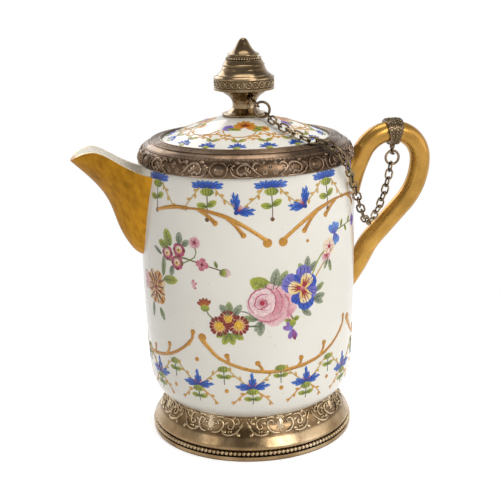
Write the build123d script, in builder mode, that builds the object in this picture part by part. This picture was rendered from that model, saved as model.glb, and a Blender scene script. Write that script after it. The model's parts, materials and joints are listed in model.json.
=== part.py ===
from build123d import *
import math
import os

os.makedirs("parts", exist_ok=True)

# Millimetres, +Z up, origin under the foot on the jug's axis, spout towards -X, handle towards +X

# Porcelain jug
body_radius = 40.0
wall_height = 92.0
wall_thickness = 2.9
floor_thickness = 4.4
foot_ring_outer = 31.5
foot_ring_width = 3.0
rim_draw_in = 1.7           # how far the wall is drawn in below the mouth

# Silver foot
foot_height = 15.9
foot_spread = 38.5
foot_neck = 32.9
silver_sheet = 0.8
ledge_height = 12.4
bead_wire_radius = 0.62
bead_wire_height = 2.8
bedding = 0.6

# Silver collar round the mouth
rim_swell = 1.3             # how far the collar stands out past the drawn-in wall
rim_band_drop = 3.1
rim_seat_height = 3.3
rim_lip_depth = 1.5

# Lid
bezel_depth = 6.0
bezel_clearance = 0.35
lid_overhang = 1.65         # the lid ring's width past the skirt
lid_ring_width = 4.6
dome_rise = 9.4
dome_crown = 1.4            # power of the dome's curve: 1 is a cone, 2 nearly a sphere
dome_thickness = 2.6
dome_edge_depth = 1.6

# Finial
finial_foot_radius = 8.1
finial_neck_radius = 4.3
finial_band_radius = 11.1
rod_radius = 1.25
thread_clearance = 0.05
bore_clearance = 0.25
nut_across_flats = 5.2
nut_height = 2.3
washer_radius = 4.4

# Handle
handle_thickness = 7.7
handle_width = 7.6
handle_top_reach = 17.2     # the top of the bow, out from the body
handle_top_height = 3.5     # and above the mouth's porcelain edge
root_thickness = 12.6
root_width = 9.0
tail_thickness = 4.2        # the lower end, where the handle runs out on the body
collar_width = 5.0
collar_sheet = 0.9
collar_fit = 0.06

# Spout
spout_wall = 2.1
spout_half_width = 12.6
spout_reach = 24.4

# Chain and its rings
link_wire = 0.7
link_pitch = 3.05
link_slack = 0.17
link_inner_width = 1.9
ring_wire = 0.95
collar_ring_radius = 2.6
finial_ring_radius = 2.75
loop_wire = 0.8
loop_inner_width = 1.9
eye_radius = 1.15
eye_wire = 0.8
chain_standoff = 2.1

assembly_gap = 0.1
rim_top = foot_height + wall_height


def keep(piece, name):
    """Label one finished piece and write it."""
    piece.part.label = name
    export_step(piece.part, "parts/" + name + ".step")


# Porcelain body: one outer curve, an even wall inside it and a low foot ring under the floor
waist_radius = body_radius - rim_draw_in
wall_inside = waist_radius - wall_thickness
floor_level = foot_height + floor_thickness
foot_ring_bottom = ledge_height + silver_sheet + bedding + assembly_gap
tuck_radius = foot_neck + 0.3
tuck_level = foot_height - 0.5
edge_chamfer = 0.8
body_curve = [
    (body_radius - 5.6, foot_height + 0.5),
    (body_radius - 3.7, foot_height + 2.6),
    (body_radius - 2.2, foot_height + 6.4),
    (body_radius - 1.1, foot_height + 15.0),
    (body_radius - 0.3, foot_height + 0.34 * wall_height),
    (body_radius, foot_height + 0.59 * wall_height),
    (body_radius - 0.2, foot_height + 0.80 * wall_height),
    (body_radius - 1.1, rim_top - 7.5),
    (waist_radius, rim_top - 3.0),
]
inner_curve = [
    (waist_radius - 6.0 - wall_thickness, floor_level),
    (waist_radius - 0.9 - wall_thickness, floor_level + 4.6),
    (body_radius - 0.9 - wall_thickness, floor_level + 14.0),
    (body_radius - 0.2 - wall_thickness, foot_height + 0.40 * wall_height),
    (body_radius - wall_thickness, foot_height + 0.60 * wall_height),
    (body_radius - 0.3 - wall_thickness, foot_height + 0.80 * wall_height),
    (wall_inside, rim_top - 6.0),
]

with BuildPart() as body_envelope:
    with BuildSketch(Plane.XZ):
        with BuildLine():
            Spline(*body_curve)
            Polyline(
                body_curve[-1],
                (waist_radius, rim_top - edge_chamfer),
                (waist_radius - edge_chamfer, rim_top),
                (0, rim_top),
                (0, tuck_level),
                (tuck_radius, tuck_level),
                body_curve[0],
            )
        make_face()
    revolve(axis=Axis.Z)

# Spout: level sections from the root at the wall to the nose, cut by the line of the lip
# Each section is height below the mouth, reach past the wall, and half width at the wall
spout_sections = [
    (-36.8, 0.4, 2.4),
    (-34.8, 3.0, 4.6),
    (-31.0, 5.6, 6.6),
    (-24.8, 8.4, 8.6),
    (-18.5, 10.4, 10.2),
    (-12.0, 13.6, 11.5),
    (-6.0, 18.6, 12.3),
    (-0.3, spout_reach, spout_half_width),
    (4.5, spout_reach + 3.2, spout_half_width),
]


def beak_outline(reach, half_width, root):
    """One level section of the beak: straight cheeks that close in a rounded nose."""
    nose = -body_radius - reach
    run = nose - root
    cheek = root + 0.55 * run
    jaw = root + 0.90 * run
    Spline(
        (root, half_width),
        (cheek, 0.68 * half_width),
        (jaw, 0.27 * half_width),
        (nose, 0),
        (jaw, -0.27 * half_width),
        (cheek, -0.68 * half_width),
        (root, -half_width),
    )
    Line((root, -half_width), (root, half_width))


spout_root = -body_radius + 5.0
with BuildPart() as spout_solid:
    for height, reach, half_width in spout_sections:
        with BuildSketch(Plane.XY.offset(rim_top + height)):
            with BuildLine():
                beak_outline(reach, half_width + 0.9, spout_root)
            make_face()
    loft()

channel_root = -body_radius + 3.0
with BuildPart() as spout_channel:
    for height, reach, half_width in spout_sections[1:]:
        with BuildSketch(Plane.XY.offset(rim_top + height)):
            with BuildLine():
                beak_outline(reach - 1.15 * spout_wall, half_width + 0.6 - spout_wall, channel_root)
            make_face()
    loft()

lip_line = [
    (-body_radius - 25.6, rim_top - 1.2),
    (-body_radius - 24.0, rim_top + 0.2),
    (-body_radius - 21.6, rim_top + 2.0),
    (-body_radius - 18.8, rim_top + 3.1),
    (-body_radius - 15.9, rim_top + 3.3),
    (-body_radius - 12.6, rim_top + 2.1),
    (-body_radius - 8.0, rim_top - 0.7),
    (-body_radius - 3.5, rim_top - 3.3),
    (-body_radius + 1.0, rim_top - 5.3),
    (-body_radius + 6.0, rim_top - 6.0),
]
with BuildPart() as spout:
    add(spout_solid.part)
    with BuildSketch(Plane.XZ):
        with BuildLine():
            Spline(*lip_line)
            Polyline(
                lip_line[-1],
                (lip_line[-1][0], rim_top + 20),
                (lip_line[0][0] - 5, rim_top + 20),
                (lip_line[0][0] - 5, lip_line[0][1] - 4),
                lip_line[0],
            )
        make_face()
    extrude(amount=30, both=True, mode=Mode.SUBTRACT)
    add(spout_channel.part, mode=Mode.SUBTRACT)
    add(body_envelope.part, mode=Mode.SUBTRACT)
keep(spout, "spout")

# The body wall is pierced behind the beak, so that cream runs from the body into it
pour_centre = rim_top - 17.5
pour_half_height = 9.0
pour_half_width = 5.0
with BuildPart() as jug_body:
    with BuildSketch(Plane.XZ):
        with BuildLine():
            Spline(*body_curve)
            Polyline(
                body_curve[-1],
                (waist_radius, rim_top - edge_chamfer),
                (waist_radius - edge_chamfer, rim_top),
                (wall_inside + edge_chamfer, rim_top),
                (wall_inside, rim_top - edge_chamfer),
                inner_curve[-1],
            )
            Spline(*inner_curve)
            Polyline(
                inner_curve[0],
                (0, floor_level),
                (0, foot_height - 0.6),
                (foot_ring_outer - foot_ring_width, foot_height - 0.6),
                (foot_ring_outer - foot_ring_width, foot_ring_bottom),
                (foot_ring_outer, foot_ring_bottom),
                (foot_ring_outer, tuck_level),
                (tuck_radius, tuck_level),
                body_curve[0],
            )
        make_face()
    revolve(axis=Axis.Z)
    with BuildSketch(Plane.YZ.offset(-body_radius - 2)):
        with Locations((0, pour_centre)):
            Ellipse(pour_half_width, pour_half_height)
    extrude(amount=10, mode=Mode.SUBTRACT)
keep(jug_body, "jug_body")

# Handle: a bow of tangent arcs in the plane of the spout, with a straight run at each root
bow_rise = 13.4
bow_fall = 11.2
back_radius = 24.6
sway_radius = 25.0
rise_angle = 62.0
back_angle = 44.0
sway_angle = 17.0
rise_run = 15.1
back_run = 16.3
foot_run = 15.0
bow_top = (body_radius + handle_top_reach, rim_top + handle_top_height)


def heading(angle):
    return (math.cos(math.radians(angle)), math.sin(math.radians(angle)))


rise_end = (
    bow_top[0] - bow_rise * math.sin(math.radians(rise_angle)),
    bow_top[1] - bow_rise * (1 - math.cos(math.radians(rise_angle))),
)
upper_root = (
    rise_end[0] - rise_run * heading(rise_angle)[0],
    rise_end[1] - rise_run * heading(rise_angle)[1],
)
with BuildLine(Plane.XZ) as handle_path:
    rising = JernArc(rise_end, heading(rise_angle), bow_rise, -rise_angle)
    falling = JernArc(bow_top, (1, 0), bow_fall, -90)
    fall_end = (bow_top[0] + bow_fall, bow_top[1] - bow_fall)
    backing = JernArc(fall_end, (0, -1), back_radius, -back_angle)
    back_end = (
        fall_end[0] - back_radius * (1 - math.cos(math.radians(back_angle))),
        fall_end[1] - back_radius * math.sin(math.radians(back_angle)),
    )
    back_heading = -90 - back_angle
    sway_start = (
        back_end[0] + back_run * heading(back_heading)[0],
        back_end[1] + back_run * heading(back_heading)[1],
    )
    Line(back_end, sway_start)
    JernArc(sway_start, heading(back_heading), sway_radius, sway_angle)
foot_heading = back_heading + sway_angle
lower_start = handle_path.wire() @ 1
lower_start = (lower_start.X, lower_start.Z)
lower_root = (
    lower_start[0] + foot_run * heading(foot_heading)[0],
    lower_start[1] + foot_run * heading(foot_heading)[1],
)


def across(point, angle):
    """A plane square to the handle's run at a point of the XZ plane."""
    run = heading(angle)
    return Plane(origin=(point[0], 0, point[1]), x_dir=(0, 1, 0), z_dir=(run[0], 0, run[1]))


def along(start, end, share):
    return tuple(a + (b - a) * share for a, b in zip(start, end))


with BuildPart() as handle:
    with BuildSketch(across(rise_end, rise_angle)):
        Ellipse(handle_width / 2, handle_thickness / 2)
    sweep(path=handle_path.wire())
    with BuildSketch(across(upper_root, rise_angle)):
        Ellipse(root_width / 2, root_thickness / 2)
    with BuildSketch(across(along(upper_root, rise_end, 0.55), rise_angle)):
        Ellipse(handle_width / 2 + 0.25, handle_thickness / 2 + 0.55)
    with BuildSketch(across(rise_end, rise_angle)):
        Ellipse(handle_width / 2, handle_thickness / 2)
    loft()
    with BuildSketch(across(lower_start, foot_heading)):
        Ellipse(handle_width / 2, handle_thickness / 2)
    with BuildSketch(across(along(lower_start, lower_root, 0.5), foot_heading)):
        Ellipse(handle_width / 2 + 0.1, handle_thickness / 2 - 0.5)
    with BuildSketch(across(lower_root, foot_heading)):
        Ellipse(handle_width / 2, tail_thickness / 2)
    loft()
    add(body_envelope.part, mode=Mode.SUBTRACT)
keep(handle, "handle")

# Silver collar round the mouth: a rolled sheet over the porcelain edge, with a seat for the lid
seat_level = rim_top + rim_seat_height
rim_radius = waist_radius + rim_swell
mouth_radius = wall_inside - 0.4 - silver_sheet
seat_radius = mouth_radius + 1.5
with BuildPart() as rim_mount:
    with BuildSketch(Plane.XZ):
        with BuildLine():
            Spline(
                (rim_radius - 0.35, rim_top - rim_band_drop),
                (rim_radius, rim_top - 1.9),
                (rim_radius - 0.3, rim_top + 0.1),
                (rim_radius - 1.4, rim_top + 2.1),
                (rim_radius - 3.0, rim_top + 3.65),
                (seat_radius, rim_top + rim_seat_height + 0.85),
            )
            Polyline(
                (seat_radius, rim_top + rim_seat_height + 0.85),
                (seat_radius, seat_level),
                (mouth_radius, seat_level),
                (mouth_radius, rim_top - rim_lip_depth),
                (mouth_radius + silver_sheet, rim_top - rim_lip_depth),
                (mouth_radius + silver_sheet, seat_level - silver_sheet),
                (mouth_radius + 2.0, seat_level - silver_sheet),
                (waist_radius - 0.7, rim_top + 1.4),
                (waist_radius + 0.2, rim_top - 0.2),
                (waist_radius + assembly_gap, rim_top - rim_band_drop),
                (rim_radius - 0.35, rim_top - rim_band_drop),
            )
        make_face()
    revolve(axis=Axis.Z)
keep(rim_mount, "rim_mount")

with BuildPart() as rim_bedding:
    with BuildSketch(Plane.XZ):
        with BuildLine():
            Polyline(
                (mouth_radius + silver_sheet + assembly_gap, rim_top + assembly_gap),
                (waist_radius - 0.9, rim_top + assembly_gap),
                (waist_radius - 0.95, rim_top + 1.3),
                (mouth_radius + 1.95, seat_level - silver_sheet - assembly_gap),
                (mouth_radius + silver_sheet + assembly_gap, seat_level - silver_sheet - assembly_gap),
                close=True,
            )
        make_face()
    revolve(axis=Axis.Z)
keep(rim_bedding, "rim_bedding")

# Silver foot: a spun skirt with a ledge inside it, on which the porcelain foot ring stands
ledge_top = ledge_height + silver_sheet
with BuildPart() as foot_mount:
    with BuildSketch(Plane.XZ):
        with BuildLine():
            Spline(
                (foot_neck, tuck_level - assembly_gap),
                (foot_neck - 0.1, foot_height - 2.4),
                (foot_neck + 0.4, foot_height - 4.2),
                (foot_neck + 1.5, foot_height - 6.0),
                (foot_neck + 3.1, foot_height - 7.9),
                (foot_spread - 1.2, foot_height - 9.9),
                (foot_spread - 0.5, 4.6),
                (foot_spread - 0.9, 3.8),
            )
            Polyline(
                (foot_spread - 0.9, 3.8),
                (foot_spread - 1.4, 3.6),
                (foot_spread - 1.4, 1.7),
                (foot_spread - 0.2, 1.6),
                (foot_spread, 0.8),
                (foot_spread - 0.2, 0),
                (foot_spread - 1.6, 0),
                (foot_spread - 2.4, 1.6),
                (foot_spread - 2.4, 4.4),
                (foot_neck + 2.4, foot_height - 8.9),
                (foot_neck + 0.6, foot_height - 6.7),
                (foot_neck - 0.3, foot_height - 5.0),
                (foot_neck - silver_sheet - 0.1, ledge_height),
                (foot_ring_outer - foot_ring_width - 0.6, ledge_height),
                (foot_ring_outer - foot_ring_width - 0.6, ledge_top),
                (foot_neck - silver_sheet - 0.2, ledge_top),
                (foot_neck - silver_sheet - 0.1, tuck_level - assembly_gap),
                (foot_neck, tuck_level - assembly_gap),
            )
        make_face()
    revolve(axis=Axis.Z)
keep(foot_mount, "foot_mount")

with BuildPart(Plane.XY.offset(bead_wire_height)) as foot_bead_wire:
    Torus(foot_spread - 0.75, bead_wire_radius)
keep(foot_bead_wire, "foot_bead_wire")

with BuildPart() as foot_bedding:
    with BuildSketch(Plane.XY.offset(ledge_top)):
        Circle(foot_ring_outer)
        Circle(foot_ring_outer - foot_ring_width, mode=Mode.SUBTRACT)
    extrude(amount=bedding)
keep(foot_bedding, "foot_bedding")

# Lid: the porcelain dome is a shallow cap held by a reeded silver ring with a skirt below it
bezel_outer = mouth_radius - bezel_clearance
bezel_inner = bezel_outer - silver_sheet
lid_ring_outer = bezel_outer + lid_overhang
lid_ring_inner = lid_ring_outer - lid_ring_width
dome_edge_radius = bezel_inner - assembly_gap
dome_line = seat_level + 1.35
dome_apex = dome_line + dome_rise
dome_seat = seat_level - dome_edge_depth


def dome_height(radius, depth=0.0):
    """Height of the dome's outside, or of a surface the given depth straight under it."""
    return dome_line + dome_rise * (1 - (radius / lid_ring_inner) ** dome_crown) - depth


def dome_line_points(inner, outer, depth=0.0):
    """Points of the dome's profile from one radius to another."""
    return [
        (radius, dome_height(radius, depth))
        for radius in (inner + (outer - inner) * step / 8 for step in range(9))
    ]


seat_share = (dome_seat + dome_thickness - dome_line) / dome_rise
under_radius = lid_ring_inner * (1 - seat_share) ** (1 / dome_crown)
rod_hole = rod_radius + bore_clearance + 0.1
with BuildPart() as lid_dome:
    with BuildSketch(Plane.XZ):
        with BuildLine():
            Spline(*dome_line_points(rod_hole, dome_edge_radius))
            Polyline(
                (dome_edge_radius, dome_height(dome_edge_radius)),
                (dome_edge_radius, dome_seat),
                (under_radius, dome_seat),
            )
            Spline(*dome_line_points(under_radius, rod_hole, dome_thickness))
            Line(
                (rod_hole, dome_height(rod_hole, dome_thickness)),
                (rod_hole, dome_height(rod_hole)),
            )
        make_face()
    revolve(axis=Axis.Z)
keep(lid_dome, "lid_dome")

with BuildPart() as lid_mount:
    with BuildSketch(Plane.XZ):
        with BuildLine():
            Polyline(
                (lid_ring_inner, dome_height(lid_ring_inner) + assembly_gap),
                (bezel_inner, dome_height(bezel_inner) + assembly_gap),
                (bezel_inner, seat_level),
                (lid_ring_outer, seat_level),
                (lid_ring_outer, seat_level + 0.75),
                (lid_ring_outer - 0.6, seat_level + 1.3),
                (lid_ring_inner + 0.8, seat_level + 1.85),
                (lid_ring_inner, seat_level + 1.85),
                close=True,
            )
        make_face()
    revolve(axis=Axis.Z)
keep(lid_mount, "lid_mount")

with BuildPart() as lid_bezel:
    with BuildSketch(Plane.XY.offset(seat_level)):
        Circle(bezel_outer)
        Circle(bezel_inner, mode=Mode.SUBTRACT)
    extrude(amount=-bezel_depth)
keep(lid_bezel, "lid_bezel")

with BuildPart() as dome_seat_ring:
    with BuildSketch(Plane.XY.offset(dome_seat - assembly_gap)):
        Circle(bezel_inner - assembly_gap / 2)
        Circle(under_radius - 0.5, mode=Mode.SUBTRACT)
    extrude(amount=-silver_sheet)
keep(dome_seat_ring, "dome_seat_ring")

# Finial: turned pieces stacked on a threaded rod, which a nut draws down on the dome
bore = rod_radius + bore_clearance
neck_level = dome_apex + 1.5
band_level = dome_apex + 8.1
shoulder_level = dome_apex + 13.4
cap_level = dome_apex + 18.95
finial_top = dome_apex + 26.55


def turned_piece(outside, name):
    """Turn one piece of the finial from its outside profile, bored for the rod."""
    with BuildPart() as piece:
        with BuildSketch(Plane.XZ):
            with BuildLine():
                Polyline((bore, outside[0][1]), *outside, (bore, outside[-1][1]), close=True)
            make_face()
        revolve(axis=Axis.Z)
    keep(piece, name)
    return piece


with BuildPart() as finial_base:
    with BuildSketch(Plane.XZ):
        with BuildLine():
            Polyline(
                (bore, dome_height(bore) + assembly_gap),
                (finial_foot_radius / 2, dome_height(finial_foot_radius / 2) + assembly_gap),
                (finial_foot_radius - 0.1, dome_height(finial_foot_radius - 0.1) + assembly_gap),
                (finial_foot_radius, dome_apex - 0.6),
                (finial_foot_radius - 0.1, dome_apex + 0.1),
                (finial_foot_radius - 0.8, dome_apex + 0.6),
                (finial_foot_radius - 2.2, dome_apex + 0.95),
                (finial_neck_radius + 0.4, dome_apex + 1.3),
                (finial_neck_radius + 0.1, neck_level),
                (bore, neck_level),
                close=True,
            )
        make_face()
    revolve(axis=Axis.Z)
keep(finial_base, "finial_base")

finial_stem = turned_piece(
    [
        (finial_neck_radius + 0.1, neck_level),
        (finial_neck_radius, neck_level + 1.2),
        (finial_neck_radius + 0.1, neck_level + 3.0),
        (finial_neck_radius + 0.5, neck_level + 4.2),
        (finial_neck_radius + 1.4, neck_level + 5.2),
        (finial_neck_radius + 2.7, neck_level + 6.0),
        (finial_neck_radius + 4.6, band_level),
    ],
    "finial_stem",
)
turned_piece(
    [
        (finial_neck_radius + 4.7, band_level),
        (finial_band_radius - 0.5, band_level + 1.3),
        (finial_band_radius, band_level + 2.1),
        (finial_band_radius, band_level + 2.9),
        (finial_band_radius - 0.4, band_level + 4.5),
        (finial_band_radius - 0.6, shoulder_level),
    ],
    "finial_band",
)
turned_piece(
    [
        (finial_band_radius - 0.7, shoulder_level),
        (finial_band_radius - 1.9, shoulder_level + 1.1),
        (finial_band_radius - 3.2, shoulder_level + 2.6),
        (finial_band_radius - 3.6, shoulder_level + 3.4),
        (finial_band_radius - 3.6, shoulder_level + 4.8),
        (finial_band_radius - 4.2, cap_level),
    ],
    "finial_shoulder",
)
cap_radius = finial_band_radius - 6.1
cap_bore_depth = 3.0
with BuildPart() as finial_cap:
    with BuildSketch(Plane.XZ):
        with BuildLine():
            Spline(
                (cap_radius + 0.9, cap_level + 1.6),
                (cap_radius + 0.3, cap_level + 2.2),
                (cap_radius - 1.1, cap_level + 3.2),
                (cap_radius - 2.4, cap_level + 5.0),
                (cap_radius - 3.4, cap_level + 6.8),
                (0, finial_top),
                tangents=[(0, 1), (-1, 0)],
            )
            Polyline(
                (0, finial_top),
                (0, cap_level + cap_bore_depth),
                (rod_radius + thread_clearance, cap_level + cap_bore_depth),
                (rod_radius + thread_clearance, cap_level),
                (cap_radius, cap_level),
                (cap_radius + 0.05, cap_level + 1.3),
                (cap_radius + 0.9, cap_level + 1.6),
            )
        make_face()
    revolve(axis=Axis.Z)
keep(finial_cap, "finial_cap")

cap_bead_radius = 0.6
with BuildPart(Plane.XY.offset(cap_level + cap_bead_radius + 0.05)) as finial_bead_ring:
    Torus(cap_radius + cap_bead_radius + 0.05, cap_bead_radius)
keep(finial_bead_ring, "finial_bead_ring")

washer_top = dome_height(washer_radius, dome_thickness) - 0.05
washer_bottom = washer_top - silver_sheet
rod_bottom = washer_bottom - nut_height - 0.7
with BuildPart() as finial_rod:
    with BuildSketch(Plane.XY.offset(rod_bottom)):
        Circle(rod_radius)
    extrude(amount=cap_level + cap_bore_depth - 0.3 - rod_bottom)
    chamfer(finial_rod.edges().filter_by(GeomType.CIRCLE), 0.25)
keep(finial_rod, "finial_rod")

with BuildPart() as finial_washer:
    with BuildSketch(Plane.XY.offset(washer_bottom)):
        Circle(washer_radius)
        Circle(bore, mode=Mode.SUBTRACT)
    extrude(amount=silver_sheet)
keep(finial_washer, "finial_washer")

with BuildPart() as finial_nut:
    with BuildSketch(Plane.XY.offset(washer_bottom)):
        RegularPolygon(nut_across_flats / 2, 6, major_radius=False)
        Circle(rod_radius + thread_clearance, mode=Mode.SUBTRACT)
    extrude(amount=-nut_height)
keep(finial_nut, "finial_nut")

# Strap round the handle's bow, wide on top and narrowing to the eye that carries the chain
strap_half = collar_width / 2
eye_drop = handle_thickness / 2 + collar_sheet + 2.65
eye_centre = (bow_top[0], bow_top[1] - eye_drop)
with BuildLine(Plane.XZ) as strap_fore:
    JernArc(bow_top, (1, 0), bow_fall, -math.degrees(strap_half / bow_fall))
with BuildLine(Plane.XZ) as strap_aft:
    JernArc(bow_top, (-1, 0), bow_rise, math.degrees(strap_half / bow_rise))
with BuildPart() as handle_collar:
    for half_path in (strap_fore, strap_aft):
        with BuildSketch(across(bow_top, 0)):
            Ellipse(handle_width / 2 + collar_fit + collar_sheet, handle_thickness / 2 + collar_fit + collar_sheet)
            Ellipse(handle_width / 2 + collar_fit, handle_thickness / 2 + collar_fit, mode=Mode.SUBTRACT)
        sweep(path=half_path.wire())
    with BuildSketch(Plane.XZ):
        with BuildLine():
            Polyline(
                (bow_top[0] - strap_half - 2, bow_top[1] + 9),
                (bow_top[0] - strap_half - 2, bow_top[1] + 1),
                (bow_top[0] - 0.7 * strap_half, bow_top[1] - 9),
                (bow_top[0] + 0.7 * strap_half, bow_top[1] - 9),
                (bow_top[0] + strap_half + 2, bow_top[1] + 1),
                (bow_top[0] + strap_half + 2, bow_top[1] + 9),
                close=True,
            )
        make_face()
    extrude(amount=12, both=True, mode=Mode.INTERSECT)
    with BuildSketch(Plane.XY.offset(eye_centre[1] + eye_radius - 0.1)):
        with Locations((eye_centre[0], 0)):
            Circle(1.0)
    extrude(amount=2.2)
    with Locations(Plane(origin=(eye_centre[0], 0, eye_centre[1]), z_dir=(1, 0, 0))):
        Torus(eye_radius, eye_wire / 2)
keep(handle_collar, "handle_collar")

# Chain: oval wire links between the ring in the strap's eye and the ring in the finial's loop
# The finial's ring stands up and faces this way
facing = Vector(-0.208, -0.978, 0)
aside = Vector(0.978, -0.208, 0)
upward = Vector(0, 0, 1)
link_length = link_pitch + link_slack + link_wire
link_bite = (link_length - link_pitch) / 2
ring_bite = (link_wire + ring_wire) / 2 + link_slack - link_bite


def at(radius, azimuth, height):
    """A point by its distance from the jug's axis, its azimuth in degrees and its height."""
    turn = math.radians(azimuth)
    return Vector(radius * math.cos(turn), radius * math.sin(turn), height)


def on_dome(radius, azimuth):
    """A place of the chain where it lies on the lid."""
    slope = dome_crown * dome_rise / lid_ring_inner * (radius / lid_ring_inner) ** (dome_crown - 1)
    return at(radius, azimuth, dome_height(radius) + chain_standoff * math.hypot(1, slope))


def wire_ring(centre, normal, radius, wire, name):
    with BuildPart(Plane(origin=centre, z_dir=normal)) as ring:
        Torus(radius, wire / 2)
    keep(ring, name)


def wire_oval(centre, direction, normal, length, width, wire, name):
    """An oval link: its length and width are those of the wire's centre line."""
    half_straight = (length - width) / 2
    bend = width / 2
    with BuildPart() as oval:
        with BuildLine(Plane(origin=centre, x_dir=direction, z_dir=normal)) as centre_line:
            Line((-half_straight, bend), (half_straight, bend))
            JernArc((half_straight, bend), (1, 0), bend, -180)
            Line((half_straight, -bend), (-half_straight, -bend))
            JernArc((-half_straight, -bend), (-1, 0), bend, -180)
        path = centre_line.wire()
        with BuildSketch(Plane(origin=path @ 0, z_dir=path % 0)):
            Circle(wire / 2)
        sweep(path=path)
    keep(oval, name)


def even_stations(curve, count):
    """Places along a curve, count equal straight steps from its start to its end."""
    dense = [curve @ (i / 1200) for i in range(1201)]

    def walk(step):
        places = [dense[0]]
        for before, after in zip(dense, dense[1:]):
            reach = (after - places[-1]).length
            if reach >= step and len(places) <= count:
                short = (before - places[-1]).length
                places.append(before + (after - before) * ((step - short) / (reach - short)))
        return places

    low, high = 0.5 * curve.length / count, 1.2 * curve.length / count
    for _ in range(40):
        step = (low + high) / 2
        if len(walk(step)) > count:
            low = step
        else:
            high = step
    return walk(low)[: count + 1]


def turn_about(vector, axis, angle):
    """A vector turned about a unit axis by an angle in degrees."""
    turn = math.radians(angle)
    return (
        vector * math.cos(turn)
        + axis.cross(vector) * math.sin(turn)
        + axis * (axis.dot(vector) * (1 - math.cos(turn)))
    )


def square_to(vector, direction):
    return (vector - direction * vector.dot(direction)).normalized()


collar_wire_top = eye_centre[1] - eye_radius + (eye_wire + ring_wire) / 2 + 0.05
collar_ring_centre = Vector(eye_centre[0], 0, collar_wire_top - collar_ring_radius)
finial_ring_centre = at(11.6, -69.8, dome_apex + 1.85)
hang = Vector(-0.25, 0, -0.968)
chain_start = collar_ring_centre + hang * (collar_ring_radius - ring_bite)
last_rest = on_dome(17.8, -65.8)
ring_contact = finial_ring_centre + (aside * 0.72 - upward * 0.69) * finial_ring_radius
chain_end = ring_contact + (ring_contact - last_rest).normalized() * ring_bite
route_points = [
    chain_start,
    at(body_radius + 15.2, -1.9, rim_top - 13.6),
    at(body_radius + 13.1, -4.3, rim_top - 18.5),
    at(body_radius + 10.3, -8.2, rim_top - 23.3),
    at(body_radius + 7.4, -13.2, rim_top - 26.9),
    at(body_radius + 5.4, -17.8, rim_top - 27.9),
    at(body_radius + 3.9, -22.2, rim_top - 25.3),
    at(body_radius + 2.8, -26.7, rim_top - 20.5),
    at(body_radius + 2.1, -30.6, rim_top - 15.5),
    at(body_radius + 1.7, -36.9, rim_top - 9.3),
    at(rim_radius + 2.3, -44.0, rim_top - 3.1),
    at(rim_radius + 2.0, -48.5, rim_top + 1.3),
    at(rim_radius + 0.2, -50.8, rim_top + 4.1),
    at(rim_radius - 3.9, -54.1, rim_top + 6.4),
    on_dome(lid_ring_inner + 0.7, -57.4),
    on_dome(27.2, -60.7),
    on_dome(22.5, -64.1),
    last_rest,
    chain_end,
]
with BuildLine() as route:
    Spline(*route_points)
route_wire = route.wire()
link_count = 2 * round((route_wire.length / link_pitch - 1) / 2) + 1
pivots = even_stations(route_wire, link_count)
print("chain route %.1f mm, %d links, pivots %.3f mm apart" % (
    route_wire.length, link_count, (pivots[1] - pivots[0]).length))

wire_ring(collar_ring_centre, Vector(0, -1, 0), collar_ring_radius, ring_wire, "collar_ring")

# The chain's frame is carried along the route without turning, each link is a quarter turn on
# from the last, and a slow twist brings the last link square to the wire of the finial's ring
directions = [(after - before).normalized() for before, after in zip(pivots, pivots[1:])]
carried = [square_to(Vector(0.968, 0, -0.25), directions[0])]
for direction in directions[1:]:
    carried.append(square_to(carried[-1], direction))
ring_tangent = square_to(aside * 0.69 + upward * 0.72, directions[-1])
mismatch = math.degrees(math.atan2(
    directions[-1].dot(carried[-1].cross(ring_tangent)), carried[-1].dot(ring_tangent)))
twist = ((mismatch + 90) % 180 - 90) / (link_count - 1)
link_normals = []
for index in range(link_count):
    normal = turn_about(carried[index], directions[index], index * (90 + twist))
    link_normals.append(normal)
    wire_oval(
        (pivots[index] + pivots[index + 1]) * 0.5, directions[index], normal,
        link_length, link_inner_width + link_wire, link_wire,
        "link_%02d" % (index + 1),
    )
wire_ring(finial_ring_centre, facing, finial_ring_radius, ring_wire, "finial_ring")

# An oval loop joins the finial's ring to a lug on the neck
lug_azimuth = -80.0
lug_height = neck_level + 4.2
lug_centre = at(finial_neck_radius + 1.65, lug_azimuth, lug_height)
ring_grip = finial_ring_centre + (upward * 0.69 - aside * 0.72) * finial_ring_radius
loop_direction = (ring_grip - lug_centre).normalized()
lug_grip = lug_centre + loop_direction * eye_radius
loop_run = ring_grip - lug_grip
loop_normal = square_to(aside * 0.69 + upward * 0.72, loop_direction)
ring_overlap = (loop_wire + ring_wire) / 2 + link_slack
lug_overlap = (loop_wire + eye_wire) / 2 + link_slack
loop_centre = (ring_grip + lug_grip + loop_direction * (ring_overlap - lug_overlap)) * 0.5
wire_oval(
    loop_centre, loop_direction, loop_normal,
    loop_run.length + ring_overlap + lug_overlap, loop_inner_width + loop_wire, loop_wire,
    "finial_loop",
)
with BuildPart() as finial_lug:
    with Locations(Plane(origin=lug_centre, z_dir=loop_direction.cross(loop_normal))):
        Torus(eye_radius, eye_wire / 2)
    add(finial_stem.part, mode=Mode.SUBTRACT)
keep(finial_lug, "finial_lug")
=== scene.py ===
import json
import math
import random
import bmesh
import bpy
from mathutils import Matrix, Vector
from mathutils.bvhtree import BVHTree


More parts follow.
